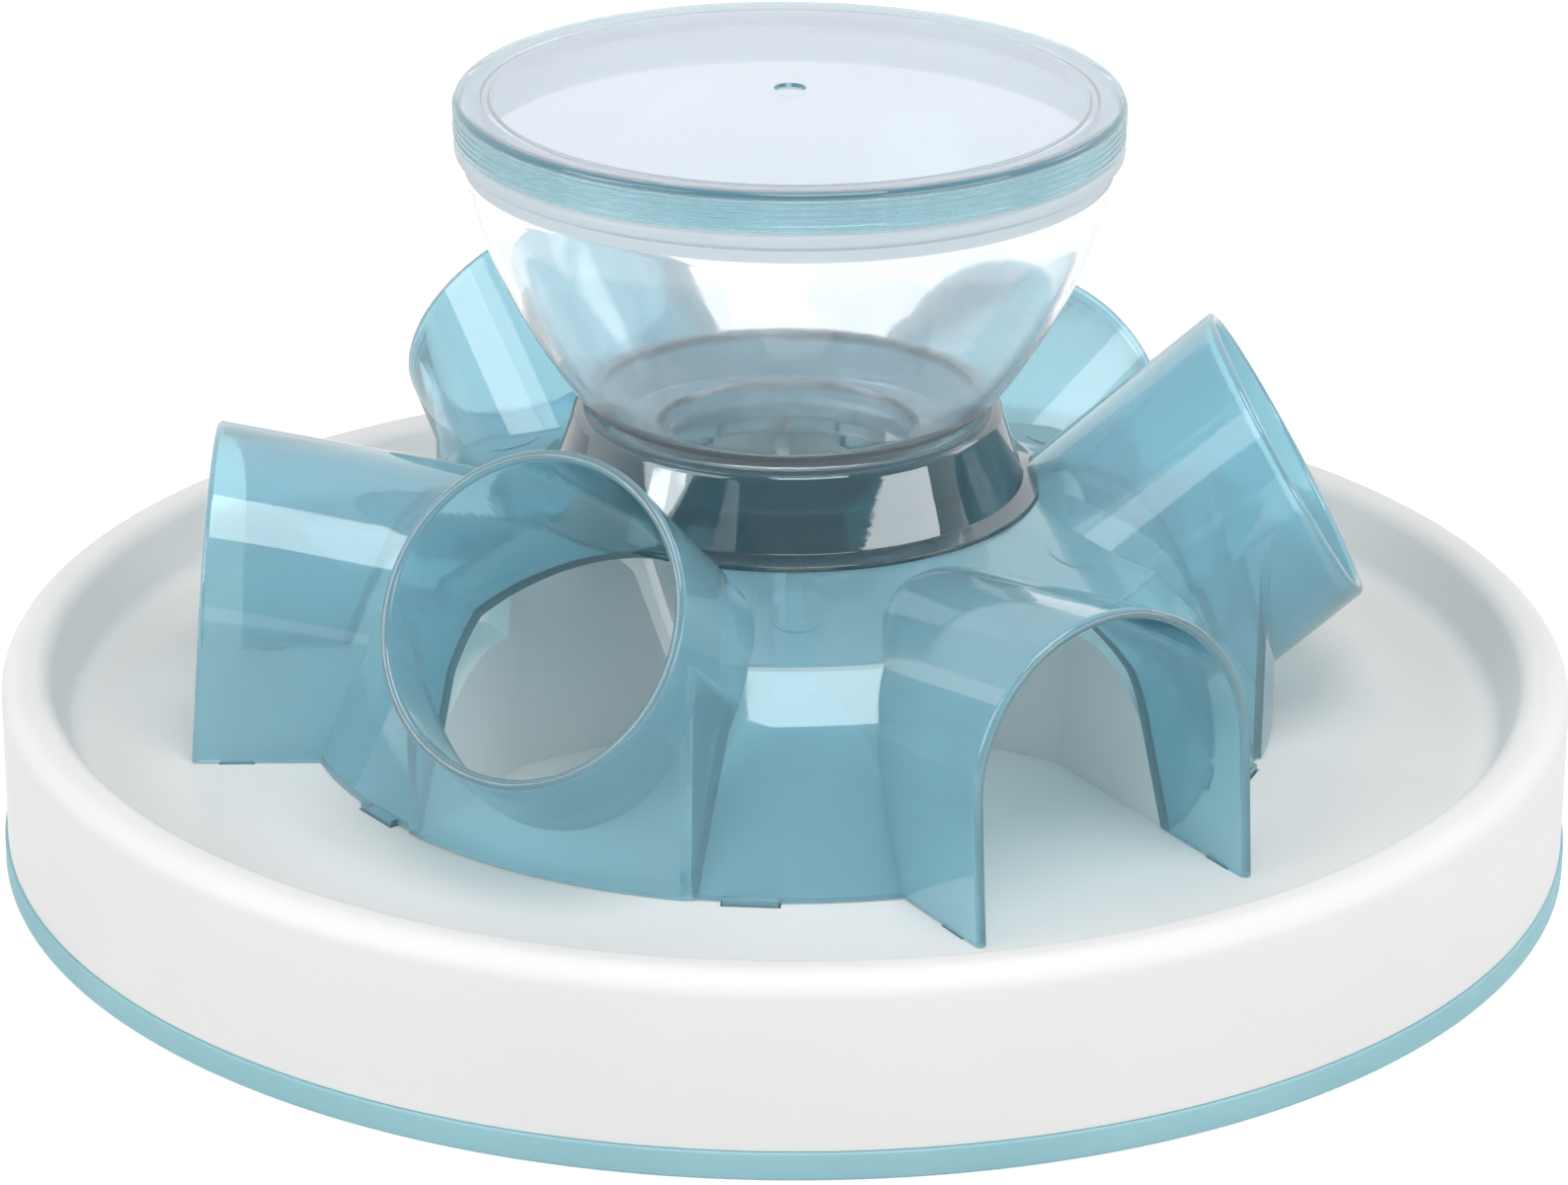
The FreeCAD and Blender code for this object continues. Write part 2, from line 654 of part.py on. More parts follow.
def make_panels(rooms):
    """Six walls of the dome, each from the middle of one outlet to the middle of the next."""
    skirt = upright_sketch("panel_outline", [
        corner(skirt_radius(HOUSING_FOOT, "dome_wall"), HOUSING_FOOT),
        corner(skirt_radius(HOUSING_FOOT, "0"), HOUSING_FOOT),
        corner("shoulder_radius", "shoulder_height", "shoulder_rounding"),
        corner("crown_radius", "crown_height"),
        corner("crown_radius", cone_height("crown_radius", "dome_wall")),
        corner(*inner_corner("dome_wall"), "shoulder_rounding - dome_wall"),
    ])
    step = number("station_angle")
    panels = []
    for i in range(STATIONS):
        name = "housing_panel_%d" % (i + 1)
        sector = turned_solid(name + "_sector", skirt, step, step * i)
        bind(sector, Angle="station_angle")
        half = joined("Cut", name + "_half", sector, rooms[i])
        wall = joined("Cut", name + "_wall", half, rooms[(i + 1) % STATIONS])
        spout = i if i % 2 == 0 else i + 1
        turn = "lug_angle" if i % 2 == 0 else "-lug_angle"
        lug = doc.addObject("Part::Box", name + "_lug")
        bind(lug, Length="lug_thickness", Width="lug_width", Height="lug_drop + lug_rise",
             Placement__Base__x="foot_radius + lug_proud - lug_thickness",
             Placement__Base__y="-lug_width / 2",
             Placement__Base__z=HOUSING_FOOT + " - lug_drop")
        holder = doc.addObject("Part::Compound", name + "_lug_turned")
        holder.Links = [lug]
        at_station(holder, step * spout + number(turn))
        panels.append(joined("Fuse", name, wall, holder))
    return panels


def make_crown():
    """Top ring of the dome with the neck and the ledge that the bowl stands on."""
    under = cone_height("crown_radius", "dome_wall")
    return turned_body("housing_crown", [
        corner("crown_radius", under),
        corner("crown_radius", "crown_height"),
        corner("neck_radius", "crown_height"),
        corner("neck_radius", "neck_height"),
        corner("neck_radius - neck_wall", "neck_height"),
        corner("neck_radius - neck_wall", "ledge_height"),
        corner(OUTLET_HOLE, "ledge_height"),
        corner(OUTLET_HOLE, "ledge_height - ledge_thickness"),
        corner("neck_radius - ledge_step", "ledge_height - ledge_thickness"),
        corner("neck_radius - ledge_step", under),
    ])


def make_collar():
    """Flared ring round the neck, with a lip turned in towards the bowl."""
    lip = "(neck_height + collar_lip_gap)"
    flare = "(collar_radius - collar_top_radius) / (collar_height - crown_height)"
    return turned_body("collar", [
        corner("collar_radius", "crown_height"),
        corner("collar_top_radius", "collar_height", "collar_rounding"),
        corner("collar_lip_radius", "collar_height"),
        corner("collar_lip_radius", lip),
        corner("collar_radius - collar_wall - (" + lip + " - crown_height) * " + flare, lip),
        corner("collar_radius - collar_wall", "crown_height"),
    ])


def make_bowl():
    """Clear hopper: a spigot and flange in the neck, a round side and a beaded rim."""
    spigot = "(outlet_radius + bowl_wall)"
    seat = "(ledge_height + seat_gap)"
    inset = "bowl_wall * sin(bowl_knee_slope)"
    lift = "bowl_wall * cos(bowl_knee_slope)"
    return turned_body("bowl", [
        corner("outlet_radius", "ledge_height - bowl_spigot_drop"),
        corner(spigot, "ledge_height - bowl_spigot_drop"),
        corner(spigot, seat),
        corner("bowl_flange_radius", seat),
        corner("bowl_flange_radius", seat + " + bowl_flange_thickness"),
        corner(spigot, seat + " + bowl_flange_thickness"),
        corner(spigot, "bowl_foot_height", arc="bowl_foot_arc"),
        corner("bowl_knee_radius", "bowl_knee_height", arc="bowl_side_arc"),
        corner("bowl_shoulder_radius", "bowl_shoulder_height"),
        corner("bowl_shoulder_radius", "bead_underside"),
        corner("bead_radius", "bead_underside", "bead_rounding"),
        corner("bead_radius", "bead_top", "bead_rounding"),
        corner("bowl_rim_radius", "bead_top"),
        corner("bowl_rim_radius", "bowl_rim_height"),
        corner("bowl_rim_radius - bowl_wall", "bowl_rim_height"),
        corner("bowl_rim_radius - bowl_wall", "bead_underside"),
        corner("bowl_shoulder_radius - bowl_wall", "bowl_shoulder_height",
               arc="bowl_side_arc - bowl_wall", side=-1),
        corner("bowl_knee_radius - " + inset, "bowl_knee_height + " + lift,
               arc="bowl_foot_arc - bowl_wall", side=-1),
        corner("outlet_radius", "bowl_foot_height + bowl_wall"),
    ])


def lid_ribs(foot):
    """Fine ribs round the skirt, as steps of its outline from the foot upwards."""
    steps = []
    for i in range(RIB_COUNT):
        low = "%s + rib_start + %d * rib_pitch" % (foot, i)
        high = "%s + rib_start + %.1f * rib_pitch" % (foot, i + 0.5)
        steps += [corner("lid_radius - rib_depth", low), corner("lid_radius", low),
                  corner("lid_radius", high), corner("lid_radius - rib_depth", high)]
    return steps


def make_lid():
    """Cap with a ribbed skirt outside the bowl's rim and a plug ring inside it."""
    foot = "(bead_top + lid_gap)"
    under = "(lid_edge_height - lid_thickness)"
    skirt = "bowl_rim_radius + lid_rim_gap"
    plug = "(bowl_rim_radius - bowl_wall - lid_rim_gap)"
    corners = [corner("0", "overall_height - lid_dimple_depth"),
               corner("0", "overall_height - lid_thickness"),
               corner(plug + " - lid_plug_wall", under),
               corner(plug + " - lid_plug_wall", under + " - lid_plug_depth"),
               corner(plug, under + " - lid_plug_depth"), corner(plug, under),
               corner(skirt, under), corner(skirt, foot), corner("lid_radius - rib_depth", foot)]
    corners += lid_ribs(foot)
    corners += [corner("lid_radius - rib_depth", "lid_edge_height", "lid_rounding"),
                corner("lid_dimple_radius", "overall_height")]
    return turned_body("lid", corners)


def check_document():
    """Stop if any object of the document failed."""
    for item in doc.Objects:
        bad = [state for state in item.State if state in ("Invalid", "Error")]
        assert not bad, "%s is %s" % (item.Name, bad)


def write_nodes(nodes):
    """Check each node's solid and write it to its file."""
    os.makedirs("parts", exist_ok=True)
    for node in nodes:
        shape = node.Shape
        assert not shape.isNull() and shape.isValid(), node.Label + " has no valid shape"
        assert len(shape.Solids) == 1, "%s has %d solids" % (node.Label, len(shape.Solids))
        shape.Solids[0].exportStep(os.path.join("parts", node.Label + ".step"))
        box = shape.BoundBox
        print("%-18s %9.0f mm3  z %6.1f to %6.1f" % (node.Label, shape.Volume, box.ZMin, box.ZMax))


dome_shape, ground_shape = make_envelopes()
tunnel_nodes, tunnel_rooms = make_tunnels(dome_shape, ground_shape)
all_nodes = [make_base_tray(), make_nonslip_ring()]
all_nodes += make_fins()
all_nodes += [make_crown()]
all_nodes += make_panels(tunnel_rooms)
all_nodes += tunnel_nodes
all_nodes += [make_collar(), make_bowl(), make_lid()]
doc.recompute()
check_document()
write_nodes(all_nodes)
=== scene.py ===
import math

import bmesh
import bpy
import numpy as np
from mathutils import Matrix, Vector


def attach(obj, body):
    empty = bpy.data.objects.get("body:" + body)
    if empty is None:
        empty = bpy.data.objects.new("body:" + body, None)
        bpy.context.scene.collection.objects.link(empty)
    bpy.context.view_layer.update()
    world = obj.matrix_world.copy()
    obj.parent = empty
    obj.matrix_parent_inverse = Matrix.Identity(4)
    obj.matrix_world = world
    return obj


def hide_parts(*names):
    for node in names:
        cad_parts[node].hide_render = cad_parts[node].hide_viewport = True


mm = 0.001
mergeWithin = 2e-6           # metres: points nearer than this become one
white = (1, 1, 1, 1)
sector = 60                  # degrees from one outlet to the next
spoutTurns = (0, 120, 240)   # where the round spouts stand, with the low arches between them
archTurns = (60, 180, 300)


# shapes

def roundedOutline(corners, steps=8):
    # each corner is (radius, height) or (radius, height, rounding): a rounding is an arc that
    # touches both edges, its points evenly spaced by angle
    spots = [np.array(c[:2], float) for c in corners]
    points = []
    for i, item in enumerate(corners):
        at = spots[i]
        if len(item) < 3 or not item[2]:
            points.append(at[None])
            continue
        back = spots[i - 1] - at
        ahead = spots[(i + 1) % len(spots)] - at
        back /= np.linalg.norm(back)
        ahead /= np.linalg.norm(ahead)
        half = math.acos(np.clip(back @ ahead, -1, 1)) / 2
        middle = back + ahead
        centre = at + middle / np.linalg.norm(middle) * item[2] / math.sin(half)
        first = at + back * item[2] / math.tan(half) - centre
        last = at + ahead * item[2] / math.tan(half) - centre
        sweep = math.atan2(first[0] * last[1] - first[1] * last[0], first @ last)
        turn = np.linspace(0, sweep, steps + 1)
        arc = np.stack([first[0] * np.cos(turn) - first[1] * np.sin(turn),
                        first[0] * np.sin(turn) + first[1] * np.cos(turn)], 1)
        points.append(centre + arc)
    return np.concatenate(points)


def arcBetween(start, end, radius, side, steps):
    # points evenly spaced by angle along an arc of this radius from start to end, without the two
    # ends; the side tells which way it bulges
    start, end = np.array(start, float), np.array(end, float)
    chord = end - start
    half = np.linalg.norm(chord) / 2
    normal = np.array([chord[1], -chord[0]]) / (2 * half) * side
    centre = (start + end) / 2 - normal * math.sqrt(radius ** 2 - half ** 2)
    a, b = start - centre, end - centre
    sweep = math.atan2(a[0] * b[1] - a[1] * b[0], a @ b)
    turn = np.linspace(0, sweep, steps + 1)[1:-1]
    return centre + np.stack([a[0] * np.cos(turn) - a[1] * np.sin(turn),
                              a[0] * np.sin(turn) + a[1] * np.cos(turn)], 1)


def gridFaces(rows, columns, closeRows):
    # quads of a grid that wraps in its columns, and in its rows where the outline is closed
    r = np.arange(rows if closeRows else rows - 1)
    c = np.arange(columns)
    r, c = np.meshgrid(r, c, indexing="ij")
    rn, cn = (r + 1) % rows, (c + 1) % columns
    quads = [r * columns + c, r * columns + cn, rn * columns + cn, rn * columns + c]
    return np.stack(quads, -1).reshape(-1, 4)


def newMesh(name, verts, faces):
    mesh = bpy.data.meshes.new(name)
    mesh.from_pydata(verts.tolist(), [], [list(map(int, f)) for f in faces])
    mesh.update()
    return mesh


def newObject(name, mesh):
    piece = bpy.data.objects.new(name, mesh)
    bpy.context.scene.collection.objects.link(piece)
    return piece


def tidyMesh(mesh, sharp=32):
    # close seams and poles, turn every face outwards, smooth all but the sharp edges
    work = bmesh.new()
    work.from_mesh(mesh)
    bmesh.ops.remove_doubles(work, verts=work.verts, dist=mergeWithin)
    loose = [edge for edge in work.edges if not edge.link_faces]
    bmesh.ops.delete(work, geom=loose, context="EDGES")
    bmesh.ops.recalc_face_normals(work, faces=work.faces)
    work.to_mesh(mesh)
    work.free()
    mesh.shade_smooth()
    mesh.set_sharp_from_angle(angle=math.radians(sharp))
    mesh.update()


def turned(name, outline, segments):
    # surface of revolution: (r(u) cos v, r(u) sin v, z(u)), u along the outline, v round the axis
    turn = np.linspace(0, 2 * math.pi, segments, endpoint=False)
    r, z = outline[:, 0] * mm, outline[:, 1] * mm
    verts = np.stack([np.outer(r, np.cos(turn)), np.outer(r, np.sin(turn)),
                      np.repeat(z[:, None], segments, 1)], -1).reshape(-1, 3)
    mesh = newMesh(name, verts, gridFaces(len(outline), segments, True))
    tidyMesh(mesh)
    return newObject(name, mesh)


def extruded(name, outline, start, end, place):
    # a flat outline carried straight from start to end along its own z, then put in its place
    n = len(outline)
    low = np.column_stack([outline, np.full(n, start)])
    high = np.column_stack([outline, np.full(n, end)])
    verts = np.concatenate([low, high]) * mm
    i = np.arange(n)
    j = (i + 1) % n
    sides = np.stack([i, j, j + n, i + n], 1).tolist()
    faces = sides + [i[::-1].tolist(), (i + n).tolist()]
    mesh = newMesh(name, verts, faces)
    tidyMesh(mesh)
    mesh.transform(place)
    return newObject(name, mesh)


def block(name, low, high, place=Matrix.Identity(4)):
    # a box between two opposite corners
    (left, near, bottom), (right, far, top) = low, high
    outline = np.array([[left, near], [right, near], [right, far], [left, far]], float)
    return extruded(name, outline, bottom, top, place)


def leaningPlace(reach, height, tilt):
    # local z points outwards and up by the tilt, local x outwards and down
    lean = Matrix.Rotation(math.radians(90 - tilt), 4, "Y")
    return Matrix.Translation((reach * mm, 0, height * mm)) @ lean


def turnedTo(angle):
    return Matrix.Rotation(math.radians(angle), 4, "Z")


def combine(base, tools, operation):
    # one closed shape joined with, cut by or kept inside several others, which are used up
    group = bpy.data.collections.new("tools")
    bpy.context.scene.collection.children.link(group)
    for tool in tools:
        bpy.context.scene.collection.objects.unlink(tool)
        group.objects.link(tool)
    step = base.modifiers.new("step", "BOOLEAN")
    step.operation = operation
    step.solver = "MANIFOLD"
    step.operand_type = "COLLECTION"
    step.collection = group
    graph = bpy.context.evaluated_depsgraph_get()
    result = bpy.data.meshes.new_from_object(base.evaluated_get(graph))
    base.modifiers.clear()
    old = base.data
    base.data = result
    bpy.data.meshes.remove(old)
    for tool in tools:
        bpy.data.objects.remove(tool)
    bpy.data.collections.remove(group)
    return base


def setFinish(piece, rule):
    # the rule gives each face the number of its finish from the face's centre
    centre = np.empty(len(piece.data.polygons) * 3)
    piece.data.polygons.foreach_get("center", centre)
    piece.data.polygons.foreach_set("material_index", rule(centre.reshape(-1, 3)).astype(np.int32))


def copyTurned(source, name, angle):
    mesh = source.data.copy()
    mesh.transform(turnedTo(angle))
    return newObject(name, mesh)


def insetLine(points, depth):
    # each straight run moved inwards by the depth, and the runs joined again where they cross
    points = np.array(points, float)
    ahead = np.diff(points, axis=0)
    ahead /= np.linalg.norm(ahead, axis=1)[:, None]
    inward = np.column_stack([-ahead[:, 1], ahead[:, 0]])
    start = points[:-1] + inward * depth
    moved = [start[0]]
    for i in range(len(ahead) - 1):
        gap = start[i + 1] - start[i]
        along = (gap[0] * ahead[i + 1][1] - gap[1] * ahead[i + 1][0]) / (
            ahead[i][0] * ahead[i + 1][1] - ahead[i][1] * ahead[i + 1][0])
        moved.append(start[i] + ahead[i] * along)
    moved.append(points[-1] + inward[-1] * depth)
    return moved


# every piece's lengths are in millimetres
domeValues = {
    "foot": 93.3, "bend": 82.4, "bendHeight": 54, "bendRounding": 9,
    "crease": 74, "creaseHeight": 62.9, "creaseRounding": 2.4, "creaseInside": 0.2,
    "crown": 44.5, "crownHeight": 71.9, "crownSlope": 0.3, "wall": 2.2, "seat": 25.3,
    "neck": 38.2, "neckInner": 36.6, "neckTop": 85, "neckPast": 5,
    "ledge": 76, "ledgeUnder": 73.6, "stepRadius": 35, "outlet": 27,
    "markRadius": 4.8, "markReach": 60.5, "markRoot": -1, "markProud": 0.1, "markSegments": 48,
    "below": 10,                 # the dome is made down to here and cut at its seat
    "sharp": 28, "roundingSteps": 12, "segments": 288,
}


def domeSolid(name, depth, low):
    # the dome's outline a given depth inside its outer face, filled to the axis
    v, ground = domeValues, trayValues["floor"]
    skirt = (v["foot"] - v["bend"]) / (v["bendHeight"] - ground)
    runs = insetLine([(v["foot"] + (ground - low) * skirt, low), (v["bend"], v["bendHeight"]),
                      (v["crease"], v["creaseHeight"]), (v["crown"], v["crownHeight"])], depth)
    foot = (runs[0][0] + (runs[0][1] - low) * skirt, low)
    bend = (*runs[1], v["bendRounding"] - depth)
    crease = (*runs[2], max(v["creaseRounding"] - depth, v["creaseInside"]))
    crown = (v["crown"], runs[3][1] - (v["crown"] - runs[3][0]) * v["crownSlope"])
    if depth:                    # the room goes up through the ledge and the neck
        past = v["neckTop"] + v["neckPast"]
        top = [crown, (v["stepRadius"], crown[1]), (v["stepRadius"], v["ledgeUnder"]),
               (v["outlet"], v["ledgeUnder"]), (v["outlet"], v["ledge"]),
               (v["neckInner"], v["ledge"]), (v["neckInner"], past), (0, past)]
    else:
        top = [crown, (v["neck"], v["crownHeight"]), (v["neck"], v["neckTop"]), (0, v["neckTop"])]
    outline = roundedOutline([(0, low), foot, bend, crease] + top, v["roundingSteps"])
    return turned(name, outline, v["segments"])


def tunnelOutline(radius, depth, segments):
    # half a circle with two straight legs, in the plane across the tunnel's axis
    turn = np.linspace(-math.pi / 2, math.pi / 2, segments + 1)
    top = np.stack([-radius * np.cos(turn), radius * np.sin(turn)], 1)
    return np.concatenate([top, [[depth, radius], [depth, -radius]]])


def circleOutline(radius, segments):
    # points evenly spaced round a circle
    turn = np.linspace(0, 2 * math.pi, segments, endpoint=False)
    return np.stack([radius * np.cos(turn), radius * np.sin(turn)], 1)


def legsFirst(outline):
    # the tunnel's outline from the foot of one leg over the top to the foot of the other
    return np.concatenate([outline[-1:], outline[:-1]])


# the tilt is the tunnel's, the lean its mouth's; the chamber under a spout ends at its own radius
spoutValues = {
    "radius": 30, "wall": 2, "tilt": 41, "reach": 95.5, "height": 76, "lean": 30, "chamber": 94,
    "inward": 72, "outward": 34, "legs": 70, "limitTop": 140, "lipProud": 0.02, "segments": 192,
}


def spoutSolid(name, wall):
    # a leaning round tube on a chamber as wide as it is, which ends at the chamber's radius
    v = spoutValues
    place = leaningPlace(v["reach"], v["height"], v["tilt"])
    radius = v["radius"] - wall
    circle = circleOutline(radius, v["segments"])
    tube = extruded(name + "Tube", circle, -v["inward"], v["outward"], place)
    legs = np.array([[0, -radius], [v["legs"], -radius], [v["legs"], radius], [0, radius]], float)
    chamber = extruded(name + "Legs", legs, -v["inward"], 0, place)
    edge = v["chamber"] - wall
    limit = np.array([[0, 0], [edge, 0], [edge, v["limitTop"]], [0, v["limitTop"]]], float)
    limit = turned(name + "Limit", limit, v["segments"])
    combine(chamber, [limit], "INTERSECT")
    return combine(tube, [chamber], "UNION")


archValues = {
    "radius": 29.6, "wall": 2, "tilt": 11.3, "reach": 110.5, "height": 51.5, "lean": 4.3,
    "inward": 72, "outward": 34, "legs": 70, "lipLegs": 40, "lipProud": 0.02, "segments": 96,
}


def archSolid(name, wall):
    # a tunnel with a round roof and upright sides, carried along its own axis
    v = archValues
    place = leaningPlace(v["reach"], v["height"], v["tilt"])
    outline = tunnelOutline(v["radius"] - wall, v["legs"], v["segments"])
    return extruded(name, outline, -v["inward"], v["outward"], place)


def pastMouth(name, v):
    # everything beyond the mouth's plane, which stands half a wall back for the rounded lip
    place = leaningPlace(v["reach"], v["height"], v["lean"])
    far = 120
    return block(name, (-far, -far, -v["wall"] / 2), (far, far, far), place)


def mouthLip(name, v, outline):
    # rounded edge of a mouth: a circle as wide as the wall, carried along the line where the
    # middle of the wall meets the mouth's plane; local height there is -x tan(tilt - lean)
    closed = len(outline) == v["segments"]
    turn = math.radians(v["tilt"] - v["lean"])
    back = v["wall"] / 2 / math.cos(turn)
    centre = np.column_stack([outline, -outline[:, 0] * math.tan(turn) - back])
    ahead = np.roll(centre, -1, 0) - np.roll(centre, 1, 0)
    if not closed:
        ahead[0] = centre[1] - centre[0]
        ahead[-1] = centre[-1] - centre[-2]
    ahead /= np.linalg.norm(ahead, axis=1)[:, None]
    normal = np.array([math.sin(turn), 0, math.cos(turn)])
    across = np.cross(ahead, normal)
    across /= np.linalg.norm(across, axis=1)[:, None]
    sides = 16
    angle = np.linspace(0, 2 * math.pi, sides, endpoint=False)
    radius = v["wall"] / 2 + v["lipProud"]
    verts = centre[:, None] + radius * (np.cos(angle)[None, :, None] * across[:, None]
                                        + np.sin(angle)[None, :, None] * normal)
    rows = len(centre)
    faces = gridFaces(rows, sides, closed).tolist()
    if not closed:
        faces += [list(range(sides)), list(range((rows - 1) * sides, rows * sides))]
    mesh = newMesh(name, verts.reshape(-1, 3) * mm, faces)
    tidyMesh(mesh)
    mesh.transform(leaningPlace(v["reach"], v["height"], v["tilt"]))
    return newObject(name, mesh)


footValues = {
    "lugAngle": 24.6, "lugWidth": 10, "lugInner": 90.9, "lugOuter": 94.3, "lugTop": 26.2,
    "tabNear": 101, "tabFar": 107, "tabMiddle": 28.6, "tabThickness": 1.6, "tabTop": 26.9,
    "drop": 23, "slotFoot": 15, "slotGap": 0.4,
}


def lugBlocks(grow):
    # the housing's foot lugs beside the spouts and tabs under the arches, or with grow their slots
    v = footValues
    low = v["slotFoot"] if grow else v["drop"]
    lugHalf, tabHalf = v["lugWidth"] / 2 + grow, v["tabThickness"] / 2 + grow
    blocks = []
    for spout in spoutTurns:
        for side in (-1, 1):
            near = (v["lugInner"] - grow, -lugHalf, low)
            far = (v["lugOuter"] + grow, lugHalf, v["lugTop"])
            blocks.append(block("lug", near, far, turnedTo(spout + side * v["lugAngle"])))
    for arch in archTurns:
        for side in (-1, 1):
            middle = side * v["tabMiddle"]
            near = (v["tabNear"] - grow, middle - tabHalf, low)
            far = (v["tabFar"] + grow, middle + tabHalf, v["tabTop"])
            blocks.append(block("tab", near, far, turnedTo(arch)))
    return blocks


def makeHousing():
    # the dome and its tunnels are joined as full shapes, and then their rooms are cut out
    v, s, a = domeValues, spoutValues, archValues
    outer = domeSolid("housing", 0, v["below"])
    rooms = [domeSolid("domeRoom", v["wall"], 0)]
    spout, spoutRoom = spoutSolid("spout", 0), spoutSolid("spoutRoom", s["wall"])
    combine(spout, [pastMouth("spoutMouth", s)], "DIFFERENCE")
    spoutMiddle = circleOutline(s["radius"] - s["wall"] / 2, s["segments"])
    archMiddle = tunnelOutline(a["radius"] - a["wall"] / 2, a["lipLegs"], a["segments"])
    lips = [mouthLip("spoutLip", s, spoutMiddle), mouthLip("archLip", a, legsFirst(archMiddle))]
    arch, archRoom = archSolid("arch", 0), archSolid("archRoom", a["wall"])
    combine(arch, [pastMouth("archMouth", a)], "DIFFERENCE")
    shapes, edges = [], []
    for here, there in zip(spoutTurns, archTurns):
        edges += [copyTurned(lips[0], "spoutEdge", here), copyTurned(lips[1], "archEdge", there)]
        shapes += [copyTurned(spout, "spoutCopy", here), copyTurned(arch, "archCopy", there)]
        rooms += [copyTurned(spoutRoom, "spoutRoomCopy", here),
                  copyTurned(archRoom, "archRoomCopy", there)]
    for done in (spout, spoutRoom, arch, archRoom, *lips):
        bpy.data.objects.remove(done)
    # round ejector marks on the cone, one between each two outlets
    drop = math.atan2(v["crownHeight"] - v["creaseHeight"], v["crease"] - v["crown"])
    level = v["crownHeight"] - (v["markReach"] - v["crown"]) * math.tan(drop)
    place = leaningPlace(v["markReach"], level, 90 - math.degrees(drop))
    for angle in range(sector // 2, 360, sector):
        disc = circleOutline(v["markRadius"], v["markSegments"])
        mark = extruded("mark", disc, v["markRoot"], v["markProud"], place)
        mark.data.transform(turnedTo(angle))
        shapes.append(mark)
    combine(outer, shapes, "UNION")
    combine(outer, rooms, "DIFFERENCE")
    combine(outer, edges, "UNION")
    far, deep = 200, 60
    combine(outer, [block("ground", (-far, -far, -deep), (far, far, v["seat"]))], "DIFFERENCE")
    combine(outer, lugBlocks(0), "UNION")
    tidyMesh(outer.data, v["sharp"])
    return outer


dividerValues = {
    "thickness": 2.8, "clear": 28.1, "reach": 93.3, "eye": 11, "foot": 22,
    "nose": 34.6, "noseHeight": 59.2, "gap": 0.45, "crown": 44.5, "legHeight": 53, "legFlat": 69,
    "legArc": 21.5, "arcSteps": 10, "join": 40, "faceWall": 2.2,
    "low": 10, "high": 80, "lift": 0.02, "segments": 240,
}


def makeDivider():
    # a leaf that forks into two legs beside the outlets, closed by a roof and an outer face
    v, dome, ground = dividerValues, domeValues, trayValues["floor"]
    turn, half = math.radians(sector / 2), v["thickness"] / 2

    def beside(along, off):
        # along the next outlet's axis, and off it towards the leaf
        return (along * math.cos(turn) + off * math.sin(turn),
                along * math.sin(turn) - off * math.cos(turn))

    fork = beside((half + v["clear"] * math.cos(turn)) / math.sin(turn), v["clear"])[0]
    tip = beside(v["reach"], v["clear"])
    innerTip = beside(v["reach"], v["clear"] + v["thickness"])
    innerFork = (v["clear"] + v["thickness"]) / math.sin(turn)
    plan = np.array([(v["eye"], -half), (fork, -half), (tip[0], -tip[1]), tip, (fork, half),
                     (v["eye"], half)])
    room = np.array([(innerFork, 0), (innerTip[0], -innerTip[1]), innerTip])
    slope = (dome["crownHeight"] - dome["creaseHeight"]) / (dome["crease"] - dome["crown"])
    skirt = (dome["foot"] - dome["bend"]) / (dome["bendHeight"] - ground)
    drop = (dome["wall"] + v["gap"]) * math.hypot(1, slope)

    def envelope(name, inset):
        # the space under the dome, turned round the axis: an edge that rises to the nose, the
        # cone, a flat shoulder, an arc and the skirt
        inward = (dome["wall"] + v["gap"] + inset) * math.hypot(1, skirt)
        join = (dome["foot"] - (v["join"] - ground) * skirt - inward, v["join"] - inset)
        foot = (dome["foot"] - inward, ground - inset)
        flat = (v["legFlat"] - inset, v["legHeight"] - inset)
        lines = [(v["foot"], ground - inset), (v["nose"], v["noseHeight"]),
                 (v["crown"], dome["crownHeight"] - drop),
                 (innerFork, dome["crownHeight"] - (innerFork - v["crown"]) * slope - drop),
                 (innerFork + half, flat[1]), flat]
        arc = arcBetween(flat, join, v["legArc"], -1, v["arcSteps"])
        return turned(name, np.concatenate([lines, arc, [join, foot]]), v["segments"])

    divider = extruded("divider", plan, v["low"], v["high"], Matrix.Identity(4))
    hollow = extruded("hollow", room, 0, v["high"], Matrix.Identity(4))
    combine(divider, [envelope("keep", 0)], "INTERSECT")
    combine(hollow, [envelope("keepRoom", v["faceWall"])], "INTERSECT")
    combine(divider, [hollow], "DIFFERENCE")
    divider.data.transform(Matrix.Translation((0, 0, v["lift"] * mm)))
    tidyMesh(divider.data)
    return divider


trayValues = {
    "radius": 150, "height": 38, "wall": 2.5, "floor": 25, "floorThickness": 2.5,
    "lipRadius": 141.3, "basinRadius": 136.5, "rimRounding": 4.3, "lipRounding": 3.5,
    "basinRounding": 5, "footRebate": 1.3, "footHeight": 5.3, "footStep": 1.5,
    "underRounding": 1.5, "stepRounding": 0.35,
    "floorRings": (100, 60),     # two more rings of points on the flat floor
    "sharp": 40, "roundingSteps": 10, "segments": 360,
}


